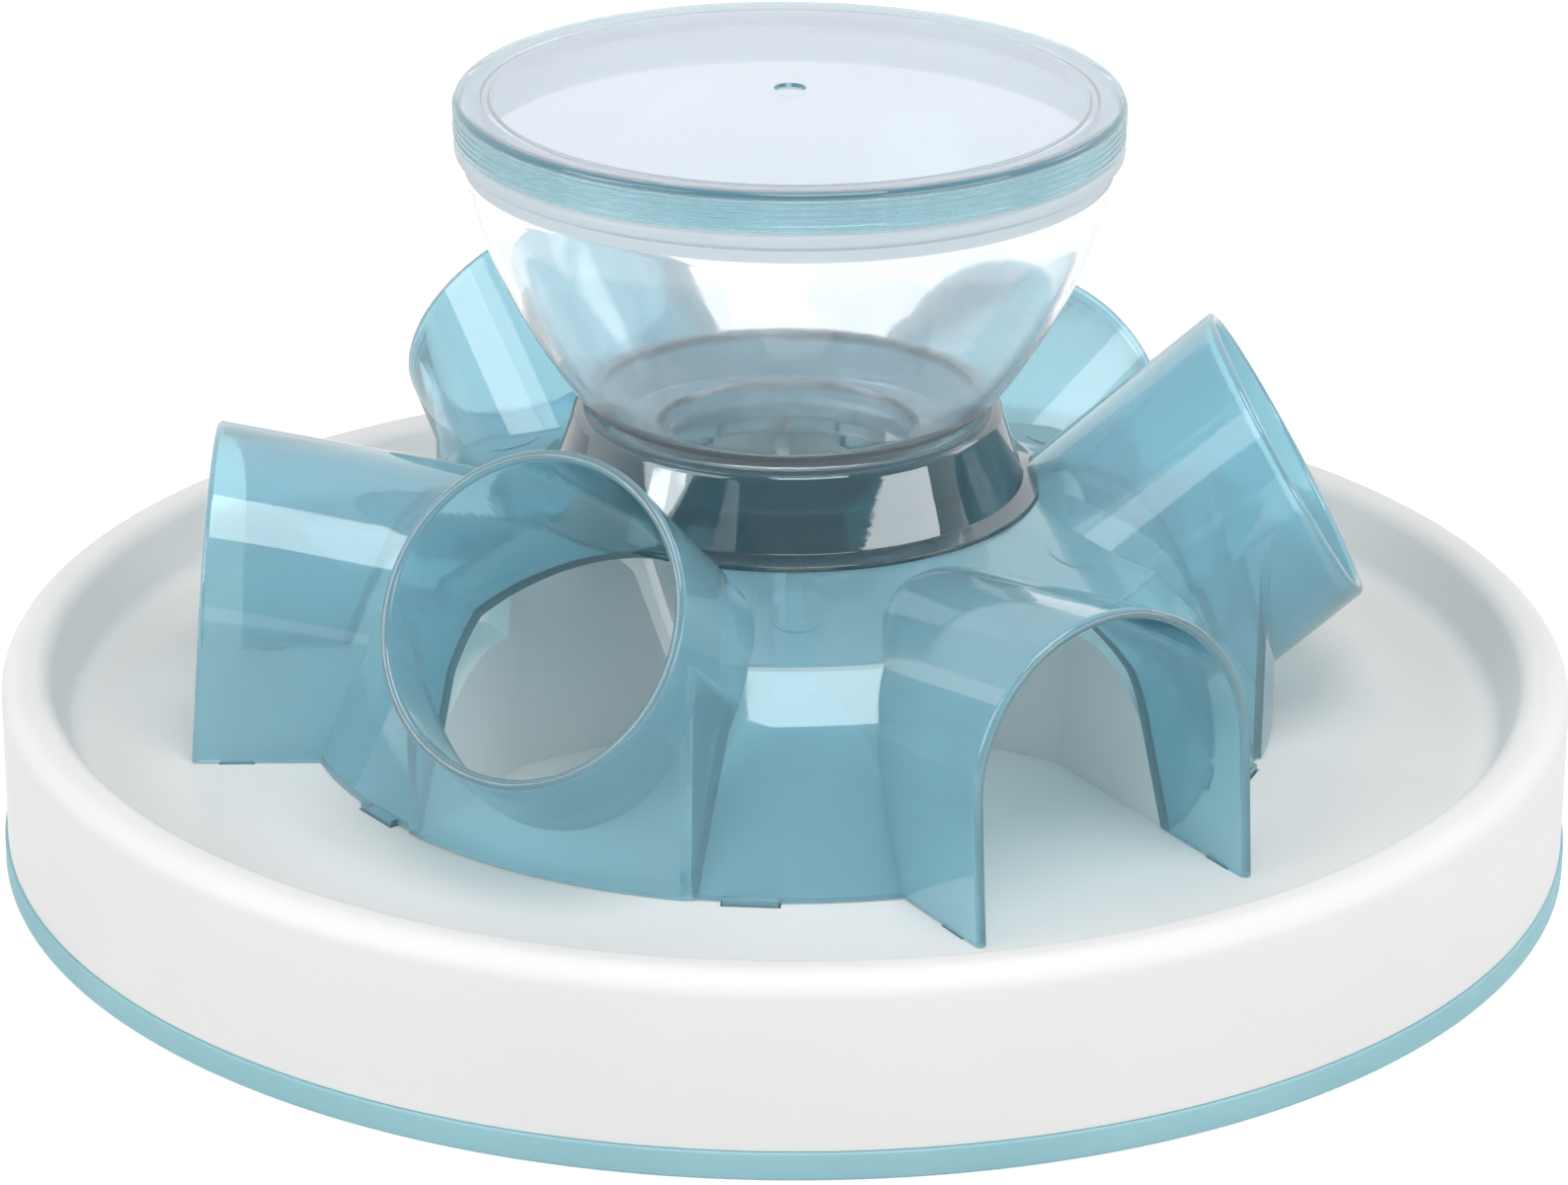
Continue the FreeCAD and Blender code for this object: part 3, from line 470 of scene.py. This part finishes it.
def makeTray():
    # one section turned round the axis: the floor's underside, the foot with its rebate, the outer
    # wall, the rim and the basin
    v = trayValues
    lip, basin = v["lipRadius"], v["basinRadius"]
    slope = (lip - basin) / (v["height"] - v["floor"])
    under = v["wall"] * math.hypot(1, slope)
    low, top = v["floor"] - v["floorThickness"], v["height"] - v["wall"]
    inner, rebate, soft = v["radius"] - v["wall"], v["radius"] - v["footRebate"], v["underRounding"]
    corners = [
        (0, low), (basin - v["floorThickness"] * slope + under, low, soft),
        (basin + (top - v["floor"]) * slope + under, top, soft),
        (inner, top, soft), (inner, v["footStep"]),
        (rebate, v["footStep"]), (rebate, v["footHeight"]),
        (v["radius"], v["footHeight"], v["stepRounding"]),
        (v["radius"], v["height"], v["rimRounding"]),
        (lip, v["height"], v["lipRounding"]), (basin, v["floor"], v["basinRounding"])]
    corners += [(r, v["floor"]) for r in (*v["floorRings"], 0)]
    outline = roundedOutline(corners, v["roundingSteps"])
    tray = turned("tray", outline, v["segments"])
    combine(tray, lugBlocks(footValues["slotGap"]), "DIFFERENCE")
    tidyMesh(tray.data, v["sharp"])
    return tray


ringValues = {
    "outer": 150.6, "inner": 148.7, "height": 5.3, "footInner": 143.6, "footThickness": 1.5,
    "rounding": 0.8, "softEdge": 0.4, "footRounding": 0.3, "roundingSteps": 5, "segments": 360,
}


def makeRing():
    # a section like an L turned round the axis: the strip round the foot, folded under it
    v = ringValues
    outline = roundedOutline([
        (v["footInner"], 0, v["softEdge"]), (v["outer"], 0, v["rounding"]),
        (v["outer"], v["height"], v["softEdge"]), (v["inner"], v["height"]),
        (v["inner"], v["footThickness"]),
        (v["footInner"], v["footThickness"], v["footRounding"])], v["roundingSteps"])
    return turned("nonslipStrip", outline, v["segments"])


collarValues = {
    "foot": 45.2, "top": 40.3, "footHeight": 71.9, "height": 86.8, "wall": 2, "lip": 37.2,
    "lipUnder": 85.3, "rounding": 2.2, "softEdge": 0.5, "innerRounding": 0.8,
    "flange": 48.4, "flangeWall": 0.9, "flangeRounding": 0.35, "flangeJoin": 0.3,
    "flangeGap": 0.03, "flangeUnder": 0.2, "roundingSteps": 8, "segments": 256,
}


def makeCollar():
    # a wall that leans in to a lip, turned round the axis; the thin flange at its foot lies on the
    # dome's cone
    v, dome = collarValues, domeValues
    flare = (v["foot"] - v["top"]) / (v["height"] - v["footHeight"])
    inner = v["foot"] - v["wall"] - (v["lipUnder"] - v["footHeight"]) * flare
    slope = (dome["crownHeight"] - dome["creaseHeight"]) / (dome["crease"] - dome["crown"])
    low = dome["crownHeight"] - (v["flange"] - dome["crown"]) * slope + v["flangeGap"]
    high = v["footHeight"] + v["flangeWall"]
    outline = roundedOutline([
        (v["foot"] - v["flangeUnder"], v["footHeight"]), (v["flange"], low),
        (v["flange"], low + v["flangeWall"], v["flangeRounding"]),
        (v["foot"] - v["flangeWall"] * flare, high, v["flangeJoin"]),
        (v["top"], v["height"], v["rounding"]), (v["lip"], v["height"], v["softEdge"]),
        (v["lip"], v["lipUnder"]), (inner, v["lipUnder"], v["innerRounding"]),
        (v["foot"] - v["wall"], v["footHeight"])], v["roundingSteps"])
    return turned("collarRing", outline, v["segments"])


bowlValues = {
    "wall": 2, "outlet": 24.4, "spigotFoot": 71, "seat": 76.3, "flange": 35, "flangeTop": 77.9,
    "footHeight": 79.9, "footArc": 58, "knee": 39.9, "kneeHeight": 90, "kneeSlope": 47,
    "sideArc": 96, "shoulder": 60.6, "shoulderHeight": 134,
    "bead": 62.4, "beadUnder": 136.6, "beadTop": 139.7, "beadRounding": 1.2,
    "beadFoot": 0.5, "beadStep": 0.3, "rim": 60, "rimHeight": 144.5, "rimRounding": 0.6,
    "innerRounding": 1.5, "frostedFrom": 134.8,
    "footSteps": 8, "sideSteps": 28, "roundingSteps": 6, "segments": 288,
}


def makeBowl():
    # a wall of two arcs, foot to knee and knee to shoulder, turned round the axis, with the spigot
    # and its flange below and the bead and rim above
    v = bowlValues
    wall, spigot = v["wall"], v["outlet"] + v["wall"]
    slope = math.radians(v["kneeSlope"])
    foot, knee = (spigot, v["footHeight"]), (v["knee"], v["kneeHeight"])
    top = (v["shoulder"], v["shoulderHeight"])
    innerFoot = (v["outlet"], v["footHeight"] + wall)
    innerKnee = (v["knee"] - wall * math.sin(slope), v["kneeHeight"] + wall * math.cos(slope))
    innerTop = (v["shoulder"] - wall, v["shoulderHeight"])
    lower = np.array([(v["outlet"], v["spigotFoot"]), (spigot, v["spigotFoot"]),
                      (spigot, v["seat"]), (v["flange"], v["seat"]),
                      (v["flange"], v["flangeTop"]), (spigot, v["flangeTop"]), foot])
    rim = roundedOutline([
        top, (v["shoulder"], v["beadUnder"], v["beadFoot"]),
        (v["bead"], v["beadUnder"], v["beadRounding"]),
        (v["bead"], v["beadTop"], v["beadRounding"]),
        (v["rim"], v["beadTop"], v["beadStep"]), (v["rim"], v["rimHeight"], v["rimRounding"]),
        (v["rim"] - wall, v["rimHeight"], v["rimRounding"]),
        (v["rim"] - wall, v["beadUnder"], v["innerRounding"]), innerTop], v["roundingSteps"])
    outline = np.concatenate([
        lower, arcBetween(foot, knee, v["footArc"], 1, v["footSteps"]), [knee],
        arcBetween(knee, top, v["sideArc"], 1, v["sideSteps"]), rim,
        arcBetween(innerTop, innerKnee, v["sideArc"] - wall, -1, v["sideSteps"]), [innerKnee],
        arcBetween(innerKnee, innerFoot, v["footArc"] - wall, -1, v["footSteps"]), [innerFoot]])
    bowl = turned("bowlShell", outline, v["segments"])
    bowl.data.materials.append(clearPlastic("bowlPlastic", bowlPlastic))
    bowl.data.materials.append(clearPlastic("frostedPlastic", frostedPlastic))
    # the bead and the rim above the shoulder are frosted
    setFinish(bowl, lambda centre: centre[:, 2] > v["frostedFrom"] * mm)
    return bowl


lidValues = {
    "radius": 62.6, "foot": 140, "height": 148.2, "edge": 147.4, "thickness": 2,
    "skirtInner": 60.6, "plug": 57.4, "plugWall": 1.8, "plugDepth": 3.4,
    "rounding": 1, "underRounding": 0.4, "footRounding": 0.3,
    "ribs": 5, "ribStart": 0.8, "ribPitch": 1.15, "ribDepth": 0.35, "ribRounding": 0.18,
    "grooveRounding": 0.1, "topMargin": 1, "topRings": 14,
    "darkTop": 147.3, "skirtMargin": 0.1, "dimple": 3, "dimpleFoot": 2.5, "dimpleDepth": 0.6,
    "roundingSteps": 4, "segments": 320,
}


def makeLid():
    # a plate with a plug and a ribbed skirt, turned round the axis; the top is a shallow dome that
    # drops with the square of the radius, with a dimple in its middle
    v = lidValues
    under, dimple = v["edge"] - v["thickness"], v["height"] - v["dimpleDepth"]
    groove, inPlug = v["radius"] - v["ribDepth"], v["plug"] - v["plugWall"]
    plugFoot = under - v["plugDepth"]
    corners = [(0, dimple), (0, v["height"] - v["thickness"]),
               (inPlug, under), (inPlug, plugFoot, v["underRounding"]),
               (v["plug"], plugFoot, v["underRounding"]), (v["plug"], under),
               (v["skirtInner"], under), (v["skirtInner"], v["foot"], v["underRounding"]),
               (groove, v["foot"], v["footRounding"])]
    for i in range(v["ribs"]):
        low = v["foot"] + v["ribStart"] + i * v["ribPitch"]
        high = low + v["ribPitch"] / 2
        corners += [(groove, low, v["grooveRounding"]), (v["radius"], low, v["ribRounding"]),
                    (v["radius"], high, v["ribRounding"]), (groove, high, v["grooveRounding"])]
    corners.append((groove, v["edge"], v["rounding"]))
    for r in np.linspace(groove - v["rounding"] - v["topMargin"], v["dimple"], v["topRings"]):
        corners.append((r, v["height"] - (v["height"] - v["edge"]) * (r / groove) ** 2))
    corners.append((v["dimpleFoot"], dimple))
    lid = turned("lidCap", roundedOutline(corners, v["roundingSteps"]), v["segments"])
    for name, values in (("lidPlastic", lidPlastic), ("lidSkirtPlastic", lidSkirtPlastic),
                         ("lidEdgePaintedReflection", lidEdgePaintedReflection)):
        lid.data.materials.append(clearPlastic(name, values))

    def finishes(centre):
        # 0 the pale top, 1 the teal skirt, 2 the rounded edge and the wall of the dimple, made dark
        # as painted dark reflection
        r, z = np.hypot(centre[:, 0], centre[:, 1]) / mm, centre[:, 2] / mm
        side = (r > v["skirtInner"] - v["skirtMargin"]) & (z < v["darkTop"])
        wall = (r > v["dimpleFoot"]) & (r < v["dimple"])
        # the dark finish on the edge and the dimple wall is painted dark reflection
        return np.where((side | wall) & (z > v["edge"] - v["rounding"]), 2, side)

    setFinish(lid, finishes)
    return lid


# finishes

def newMaterial(name):
    material = bpy.data.materials.new(name)
    material.use_nodes = True
    tree = material.node_tree
    tree.nodes.clear()
    return material, tree


def link(tree, a, b):
    tree.links.new(a, b)


surfaceValues = {
    "driftDetail": 2, "driftLow": 0.3, "driftHigh": 0.7, "hazeDetail": 4, "scratchDetail": 6,
    "scratchDistortion": 0.6, "scratchStretch": (1, 1, 6), "scratchLow": 0.35, "scratchHigh": 0.7,
}


def mouldedSurface():
    # colour drift, mould haze and fine wear for all plastics: mask, roughness and bump height
    v = surfaceValues
    group = bpy.data.node_groups.new("mouldedSurface", "ShaderNodeTree")
    face = group.interface
    for label, value in (("Drift Scale", 14), ("Haze Scale", 260), ("Scratch Scale", 90),
                         ("Roughness Low", 0.1), ("Roughness High", 0.2)):
        socket = face.new_socket(label, in_out="INPUT", socket_type="NodeSocketFloat")
        socket.default_value = value
    for label in ("Drift", "Roughness", "Height"):
        face.new_socket(label, in_out="OUTPUT", socket_type="NodeSocketFloat")
    nodes = group.nodes
    start, out = nodes.new("NodeGroupInput"), nodes.new("NodeGroupOutput")
    where = nodes.new("ShaderNodeTexCoord")
    drift, haze, scratch = (nodes.new("ShaderNodeTexNoise") for _ in range(3))
    drift.inputs["Detail"].default_value = v["driftDetail"]
    haze.inputs["Detail"].default_value = v["hazeDetail"]
    scratch.inputs["Detail"].default_value = v["scratchDetail"]
    scratch.inputs["Distortion"].default_value = v["scratchDistortion"]
    stretch = nodes.new("ShaderNodeMapping")
    stretch.inputs["Scale"].default_value = v["scratchStretch"]
    for noise, label in ((drift, "Drift Scale"), (haze, "Haze Scale"), (scratch, "Scratch Scale")):
        link(group, start.outputs[label], noise.inputs["Scale"])
    link(group, where.outputs["Object"], drift.inputs["Vector"])
    link(group, where.outputs["Object"], haze.inputs["Vector"])
    link(group, where.outputs["Object"], stretch.inputs["Vector"])
    link(group, stretch.outputs["Vector"], scratch.inputs["Vector"])
    spread = nodes.new("ShaderNodeMapRange")
    link(group, scratch.outputs["Fac"], spread.inputs["Value"])
    spread.inputs["From Min"].default_value = v["scratchLow"]
    spread.inputs["From Max"].default_value = v["scratchHigh"]
    link(group, start.outputs["Roughness Low"], spread.inputs["To Min"])
    link(group, start.outputs["Roughness High"], spread.inputs["To Max"])
    link(group, drift.outputs["Fac"], out.inputs["Drift"])
    link(group, spread.outputs["Result"], out.inputs["Roughness"])
    link(group, haze.outputs["Fac"], out.inputs["Height"])
    return group


surfaceGroup = mouldedSurface()


def plasticNodes(tree, values):
    # the shared part of every plastic: drifting colour, uneven gloss and a faint moulded texture
    shader = tree.nodes.new("ShaderNodeBsdfPrincipled")
    surface = tree.nodes.new("ShaderNodeGroup")
    surface.node_tree = surfaceGroup
    surface.inputs["Drift Scale"].default_value = values["driftScale"]
    surface.inputs["Haze Scale"].default_value = values["hazeScale"]
    surface.inputs["Scratch Scale"].default_value = values["scratchScale"]
    surface.inputs["Roughness Low"].default_value = values["roughness"][0]
    surface.inputs["Roughness High"].default_value = values["roughness"][1]
    ramp = tree.nodes.new("ShaderNodeValToRGB")
    ramp.color_ramp.elements[0].position = surfaceValues["driftLow"]
    ramp.color_ramp.elements[1].position = surfaceValues["driftHigh"]
    ramp.color_ramp.elements[0].color = (*values["colour"], 1)
    ramp.color_ramp.elements[1].color = (*values["colourHigh"], 1)
    bump = tree.nodes.new("ShaderNodeBump")
    bump.inputs["Strength"].default_value = values["bump"]
    bump.inputs["Distance"].default_value = values["bumpDepth"]
    link(tree, surface.outputs["Drift"], ramp.inputs["Fac"])
    link(tree, ramp.outputs["Color"], shader.inputs["Base Color"])
    link(tree, surface.outputs["Roughness"], shader.inputs["Roughness"])
    link(tree, surface.outputs["Height"], bump.inputs["Height"])
    link(tree, bump.outputs["Normal"], shader.inputs["Normal"])
    shader.inputs["IOR"].default_value = values["ior"]
    return shader


def solidPlastic(name, values):
    material, tree = newMaterial(name)
    out = tree.nodes.new("ShaderNodeOutputMaterial")
    link(tree, plasticNodes(tree, values).outputs["BSDF"], out.inputs["Surface"])
    return material


def clearPlastic(name, values):
    # see-through plastic that shadow rays pass with a tint; where it absorbs, its colour deepens
    # with the thickness
    material, tree = newMaterial(name)
    shader = plasticNodes(tree, values)
    shader.inputs["Transmission Weight"].default_value = values["transmission"]
    path = tree.nodes.new("ShaderNodeLightPath")
    through = tree.nodes.new("ShaderNodeBsdfTransparent")
    through.inputs["Color"].default_value = (*values["shadowTint"], 1)
    mix = tree.nodes.new("ShaderNodeMixShader")
    out = tree.nodes.new("ShaderNodeOutputMaterial")
    link(tree, path.outputs["Is Shadow Ray"], mix.inputs["Fac"])
    link(tree, shader.outputs["BSDF"], mix.inputs[1])
    link(tree, through.outputs["BSDF"], mix.inputs[2])
    link(tree, mix.outputs["Shader"], out.inputs["Surface"])
    if "absorbs" in values:
        body = tree.nodes.new("ShaderNodeVolumeAbsorption")
        body.inputs["Color"].default_value = (*values["absorbs"], 1)
        body.inputs["Density"].default_value = values["density"]
        link(tree, body.outputs["Volume"], out.inputs["Volume"])
    return material


# each finish: two colours that drift into each other, lowest and highest roughness, refraction,
# the scales of its patterns, and the strength and depth in metres of its bump
whitePlastic = {
    "colour": (0.80, 0.80, 0.79), "colourHigh": (0.84, 0.84, 0.83),
    "roughness": (0.42, 0.55), "ior": 1.36,
    "driftScale": 9, "hazeScale": 900, "scratchScale": 60, "bump": 0.12, "bumpDepth": 0.0002,
}
# the divider is the tray's white plastic; its greenish cream tint is painted light, the colour of
# light reaching it through the teal dome
dividerPlastic = dict(whitePlastic, colour=(0.77, 0.78, 0.70), colourHigh=(0.81, 0.82, 0.74))
tealRubber = {
    "colour": (0.26, 0.49, 0.55), "colourHigh": (0.30, 0.54, 0.60),
    "roughness": (0.5, 0.65), "ior": 1.45,
    "driftScale": 20, "hazeScale": 1500, "scratchScale": 80, "bump": 0.25, "bumpDepth": 0.0002,
}
tealPlastic = {
    "colour": (0.48, 0.77, 0.88), "colourHigh": (0.52, 0.81, 0.91),
    "roughness": (0.03, 0.09), "ior": 1.57,
    "driftScale": 16, "hazeScale": 500, "scratchScale": 70, "bump": 0.04, "bumpDepth": 0.0002,
    "transmission": 0.72, "absorbs": (0.3, 0.62, 0.66), "density": 305,
    "shadowTint": (0.57, 0.54, 0.52),
}
collarPlastic = dict(tealPlastic, colour=(0.19, 0.33, 0.38), colourHigh=(0.22, 0.36, 0.41),
                     roughness=(0.02, 0.05), ior=1.76, transmission=0.85, density=700)
bowlPlastic = {
    "colour": (0.90, 0.93, 0.95), "colourHigh": (0.93, 0.95, 0.97),
    "roughness": (0.02, 0.07), "ior": 1.5,
    "driftScale": 16, "hazeScale": 400, "scratchScale": 60, "bump": 0.02, "bumpDepth": 0.0002,
    "transmission": 0.95, "shadowTint": (0.94, 0.95, 0.95),
}
lidPlastic = dict(bowlPlastic, colour=(0.60, 0.67, 0.74), colourHigh=(0.63, 0.70, 0.77),
                  roughness=(0.015, 0.04), ior=1.57, transmission=0.86, bump=0.004,
                  shadowTint=(0.8, 0.8, 0.8))
lidSkirtPlastic = dict(lidPlastic, colour=(0.45, 0.68, 0.73), colourHigh=(0.49, 0.72, 0.77))
# the rounded edge and the dimple wall get this dark finish as painted dark reflection, not a darker
# plastic
lidEdgePaintedReflection = dict(lidPlastic, colour=(0.09, 0.25, 0.33), colourHigh=(0.11, 0.28, 0.36),
                      transmission=0.3)
frostedPlastic = dict(bowlPlastic, colour=(0.63, 0.69, 0.73), colourHigh=(0.67, 0.73, 0.77),
                      roughness=(0.4, 0.55), transmission=0.5, bump=0.15, hazeScale=1200)


# stage

viewValues = {
    "cameraTurn": -1.8,          # degrees round the upright axis
    "cameraElevation": 21.86,    # degrees above the horizon
    "cameraDistance": 1050 * mm,
    "cameraRoll": 0.44,
    "targetHeight": 47.4 * mm,
    "lens": 125.5, "sensorWidth": 36,
    "shiftAcross": -0.00135,
}


def makeCamera():
    v = viewValues
    camera = bpy.data.objects.new("photoCamera", bpy.data.cameras.new("photoCamera"))
    bpy.context.scene.collection.objects.link(camera)
    camera.data.sensor_width = v["sensorWidth"]
    camera.data.lens = v["lens"]
    camera.data.shift_x = v["shiftAcross"]
    up = math.radians(v["cameraElevation"])
    turn = Matrix.Rotation(math.radians(v["cameraTurn"]), 4, "Z")
    away = Vector((0, -math.cos(up), math.sin(up))) * v["cameraDistance"]
    roll = Matrix.Rotation(math.radians(v["cameraRoll"]), 4, "Z")
    tip = Matrix.Rotation(math.pi / 2 - up, 4, "X") @ roll
    camera.matrix_world = turn @ Matrix.Translation(away + Vector((0, 0, v["targetHeight"]))) @ tip
    bpy.context.scene.camera = camera


# each softbox: its direction from the object and its size as seen from there in degrees, its
# distance, and how bright its face is where white is 1
lampValues = {
    "leftBox": {"turn": -141, "rise": 29, "wide": 27, "tall": 26, "away": 1.3, "bright": 2.8},
    "leftStrip": {"turn": -154, "rise": 12, "wide": 19, "tall": 7, "away": 1.3, "bright": 7.2,
                  "roll": 14},
    "rightBox": {"turn": -38.7, "rise": 10.5, "wide": 46.5, "tall": 13, "away": 1.3, "bright": 5},
    "rearLeftBox": {"turn": -163, "rise": 22, "wide": 18, "tall": 20, "away": 1.3, "bright": 4},
    "rearRightBox": {"turn": 21, "rise": 27, "wide": 20, "tall": 16, "away": 1.3, "bright": 2.4},
    "overheadBox": {"turn": -75, "rise": 64, "wide": 30, "tall": 32, "away": 1.3, "bright": 5.4},
}


stageValues = {
    "lampCentre": 60 * mm,       # the height that the lamps point at
    "floorReach": 4,             # metres either way
    "floorColour": (0.68, 0.68, 0.68, 1), "floorGlow": 0.66,
    "ambientColour": (1, 0.99, 0.98, 1), "ambient": 0.3,
    # what gloss sees before and behind the object, and the world y of a ray where each begins
    "roomFront": 0.36, "roomFrontAt": -0.45, "roomBehind": 1.8, "roomBehindAt": 0.35,
}


def softLamp(name, v):
    lamp = bpy.data.lights.new(name, "AREA")
    lamp.shape = "RECTANGLE"
    lamp.size = 2 * v["away"] * math.tan(math.radians(v["wide"] / 2))
    lamp.size_y = 2 * v["away"] * math.tan(math.radians(v["tall"] / 2))
    lamp.energy = v["bright"] * math.pi * lamp.size * lamp.size_y
    item = bpy.data.objects.new(name, lamp)
    bpy.context.scene.collection.objects.link(item)
    turn, rise = math.radians(v["turn"]), math.radians(v["rise"])
    flat = math.cos(rise)
    away = Vector((flat * math.cos(turn), flat * math.sin(turn), math.sin(rise)))
    item.location = Vector((0, 0, stageValues["lampCentre"])) + away * v["away"]
    roll = Matrix.Rotation(math.radians(v.get("roll", 0)), 3, "Z")
    item.rotation_euler = ((-away).to_track_quat("-Z", "Y").to_matrix() @ roll).to_euler()


def makeStage():
    # pale floor: it keeps the shadow, and shows nearly white to the camera, glass and gloss
    v = stageValues
    corners = v["floorReach"] * np.array([[-1, -1, 0], [1, -1, 0], [1, 1, 0], [-1, 1, 0]], float)
    mesh = newMesh("floor", corners, [[0, 1, 2, 3]])
    floor = newObject("floor", mesh)
    material, tree = newMaterial("paleFloor")
    diffuse = tree.nodes.new("ShaderNodeBsdfDiffuse")
    glow = tree.nodes.new("ShaderNodeEmission")
    diffuse.inputs["Color"].default_value = v["floorColour"]
    glow.inputs["Color"].default_value = white
    glow.inputs["Strength"].default_value = v["floorGlow"]
    path, add = tree.nodes.new("ShaderNodeLightPath"), tree.nodes.new("ShaderNodeAddShader")
    seen, plain = tree.nodes.new("ShaderNodeMath"), tree.nodes.new("ShaderNodeMath")
    seen.operation = plain.operation = "MAXIMUM"
    mix, out = tree.nodes.new("ShaderNodeMixShader"), tree.nodes.new("ShaderNodeOutputMaterial")
    link(tree, path.outputs["Is Camera Ray"], seen.inputs[0])
    link(tree, path.outputs["Is Transmission Ray"], seen.inputs[1])
    link(tree, seen.outputs["Value"], plain.inputs[0])
    link(tree, path.outputs["Is Glossy Ray"], plain.inputs[1])
    link(tree, plain.outputs["Value"], mix.inputs["Fac"])
    link(tree, diffuse.outputs["BSDF"], add.inputs[0])
    link(tree, glow.outputs["Emission"], add.inputs[1])
    link(tree, diffuse.outputs["BSDF"], mix.inputs[1])
    link(tree, add.outputs["Shader"], mix.inputs[2])
    link(tree, mix.outputs["Shader"], out.inputs["Surface"])
    mesh.materials.append(material)

    world = bpy.data.worlds.new("studio")
    bpy.context.scene.world = world
    world.use_nodes = True
    tree = world.node_tree
    tree.nodes.clear()
    path, mix = tree.nodes.new("ShaderNodeLightPath"), tree.nodes.new("ShaderNodeMixShader")
    seen, out = tree.nodes.new("ShaderNodeMath"), tree.nodes.new("ShaderNodeOutputWorld")
    seen.operation = "MAXIMUM"
    bright, dim, room = (tree.nodes.new("ShaderNodeBackground") for _ in range(3))
    bright.inputs["Strength"].default_value = 1.0
    bright.inputs["Color"].default_value = white
    dim.inputs["Color"].default_value = v["ambientColour"]
    dim.inputs["Strength"].default_value = v["ambient"]
    # gloss shows a white backdrop behind the object and a darker room before it
    where, split = tree.nodes.new("ShaderNodeTexCoord"), tree.nodes.new("ShaderNodeSeparateXYZ")
    shade, gloss = tree.nodes.new("ShaderNodeMapRange"), tree.nodes.new("ShaderNodeMixShader")
    shade.inputs["From Min"].default_value = v["roomFrontAt"]
    shade.inputs["From Max"].default_value = v["roomBehindAt"]
    shade.inputs["To Min"].default_value = v["roomFront"]
    shade.inputs["To Max"].default_value = v["roomBehind"]
    link(tree, where.outputs["Generated"], split.inputs["Vector"])
    link(tree, split.outputs["Y"], shade.inputs["Value"])
    link(tree, shade.outputs["Result"], room.inputs["Strength"])
    link(tree, path.outputs["Is Camera Ray"], seen.inputs[0])
    link(tree, path.outputs["Is Transmission Ray"], seen.inputs[1])
    link(tree, path.outputs["Is Glossy Ray"], gloss.inputs["Fac"])
    link(tree, dim.outputs["Background"], gloss.inputs[1])
    link(tree, room.outputs["Background"], gloss.inputs[2])
    link(tree, seen.outputs["Value"], mix.inputs["Fac"])
    link(tree, gloss.outputs["Shader"], mix.inputs[1])
    link(tree, bright.outputs["Background"], mix.inputs[2])
    link(tree, mix.outputs["Shader"], out.inputs["Surface"])

    for name, values in lampValues.items():
        softLamp(name, values)


# making

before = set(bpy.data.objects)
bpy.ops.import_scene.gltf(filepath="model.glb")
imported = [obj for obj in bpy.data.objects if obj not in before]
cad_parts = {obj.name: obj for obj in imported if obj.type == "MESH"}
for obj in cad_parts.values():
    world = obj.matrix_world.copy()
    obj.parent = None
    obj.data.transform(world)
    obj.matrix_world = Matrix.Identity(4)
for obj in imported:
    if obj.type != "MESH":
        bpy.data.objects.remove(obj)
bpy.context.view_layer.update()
print("frame loaded,", len(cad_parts), "nodes")

makeCamera()
makeStage()
bpy.context.scene.view_settings.view_transform = "Standard"
print("stage ready")

housingNodes = ["housing_crown"]
housingNodes += ["housing_panel_%d" % i for i in range(1, 7)]
housingNodes += ["arch_tunnel_%d" % i for i in range(1, 4)]
housingNodes += ["spout_tunnel_%d" % i for i in range(1, 4)]
tealFinish = clearPlastic("tealPlastic", tealPlastic)
# the dividers' greenish tint is painted light from the teal dome
dividerPaintedTintFinish = solidPlastic("dividerPlastic", dividerPlastic)

for makePiece, body, slot, finish, nodes in (
        (makeTray, "base", "tray_white", solidPlastic("whitePlastic", whitePlastic), ["base_tray"]),
        (makeRing, "base", "ring_rubber", solidPlastic("tealRubber", tealRubber), ["nonslip_ring"]),
        (makeHousing, "housing", "housing_teal", tealFinish, housingNodes),
        (makeCollar, "housing", "collar_teal", clearPlastic("collarPlastic", collarPlastic),
         ["collar"]),
        (makeBowl, "bowl", "bowl_clear", None, ["bowl"]),
        (makeLid, "lid", "lid_teal", None, ["lid"])):
    piece = makePiece()
    if finish:
        piece.data.materials.clear()
        piece.data.materials.append(finish)
    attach(piece, body)
    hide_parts(*nodes)
    print("made", piece.name, len(piece.data.polygons), "faces")

pattern = makeDivider()
pattern.data.materials.append(dividerPaintedTintFinish)
for i in range(1, 7):
    divider = copyTurned(pattern, "divider%d" % i, sector * i - sector / 2)
    tidyMesh(divider.data)
    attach(divider, "base")
    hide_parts("divider_fin_%d" % i)
bpy.data.objects.remove(pattern)
print("dividers finished")
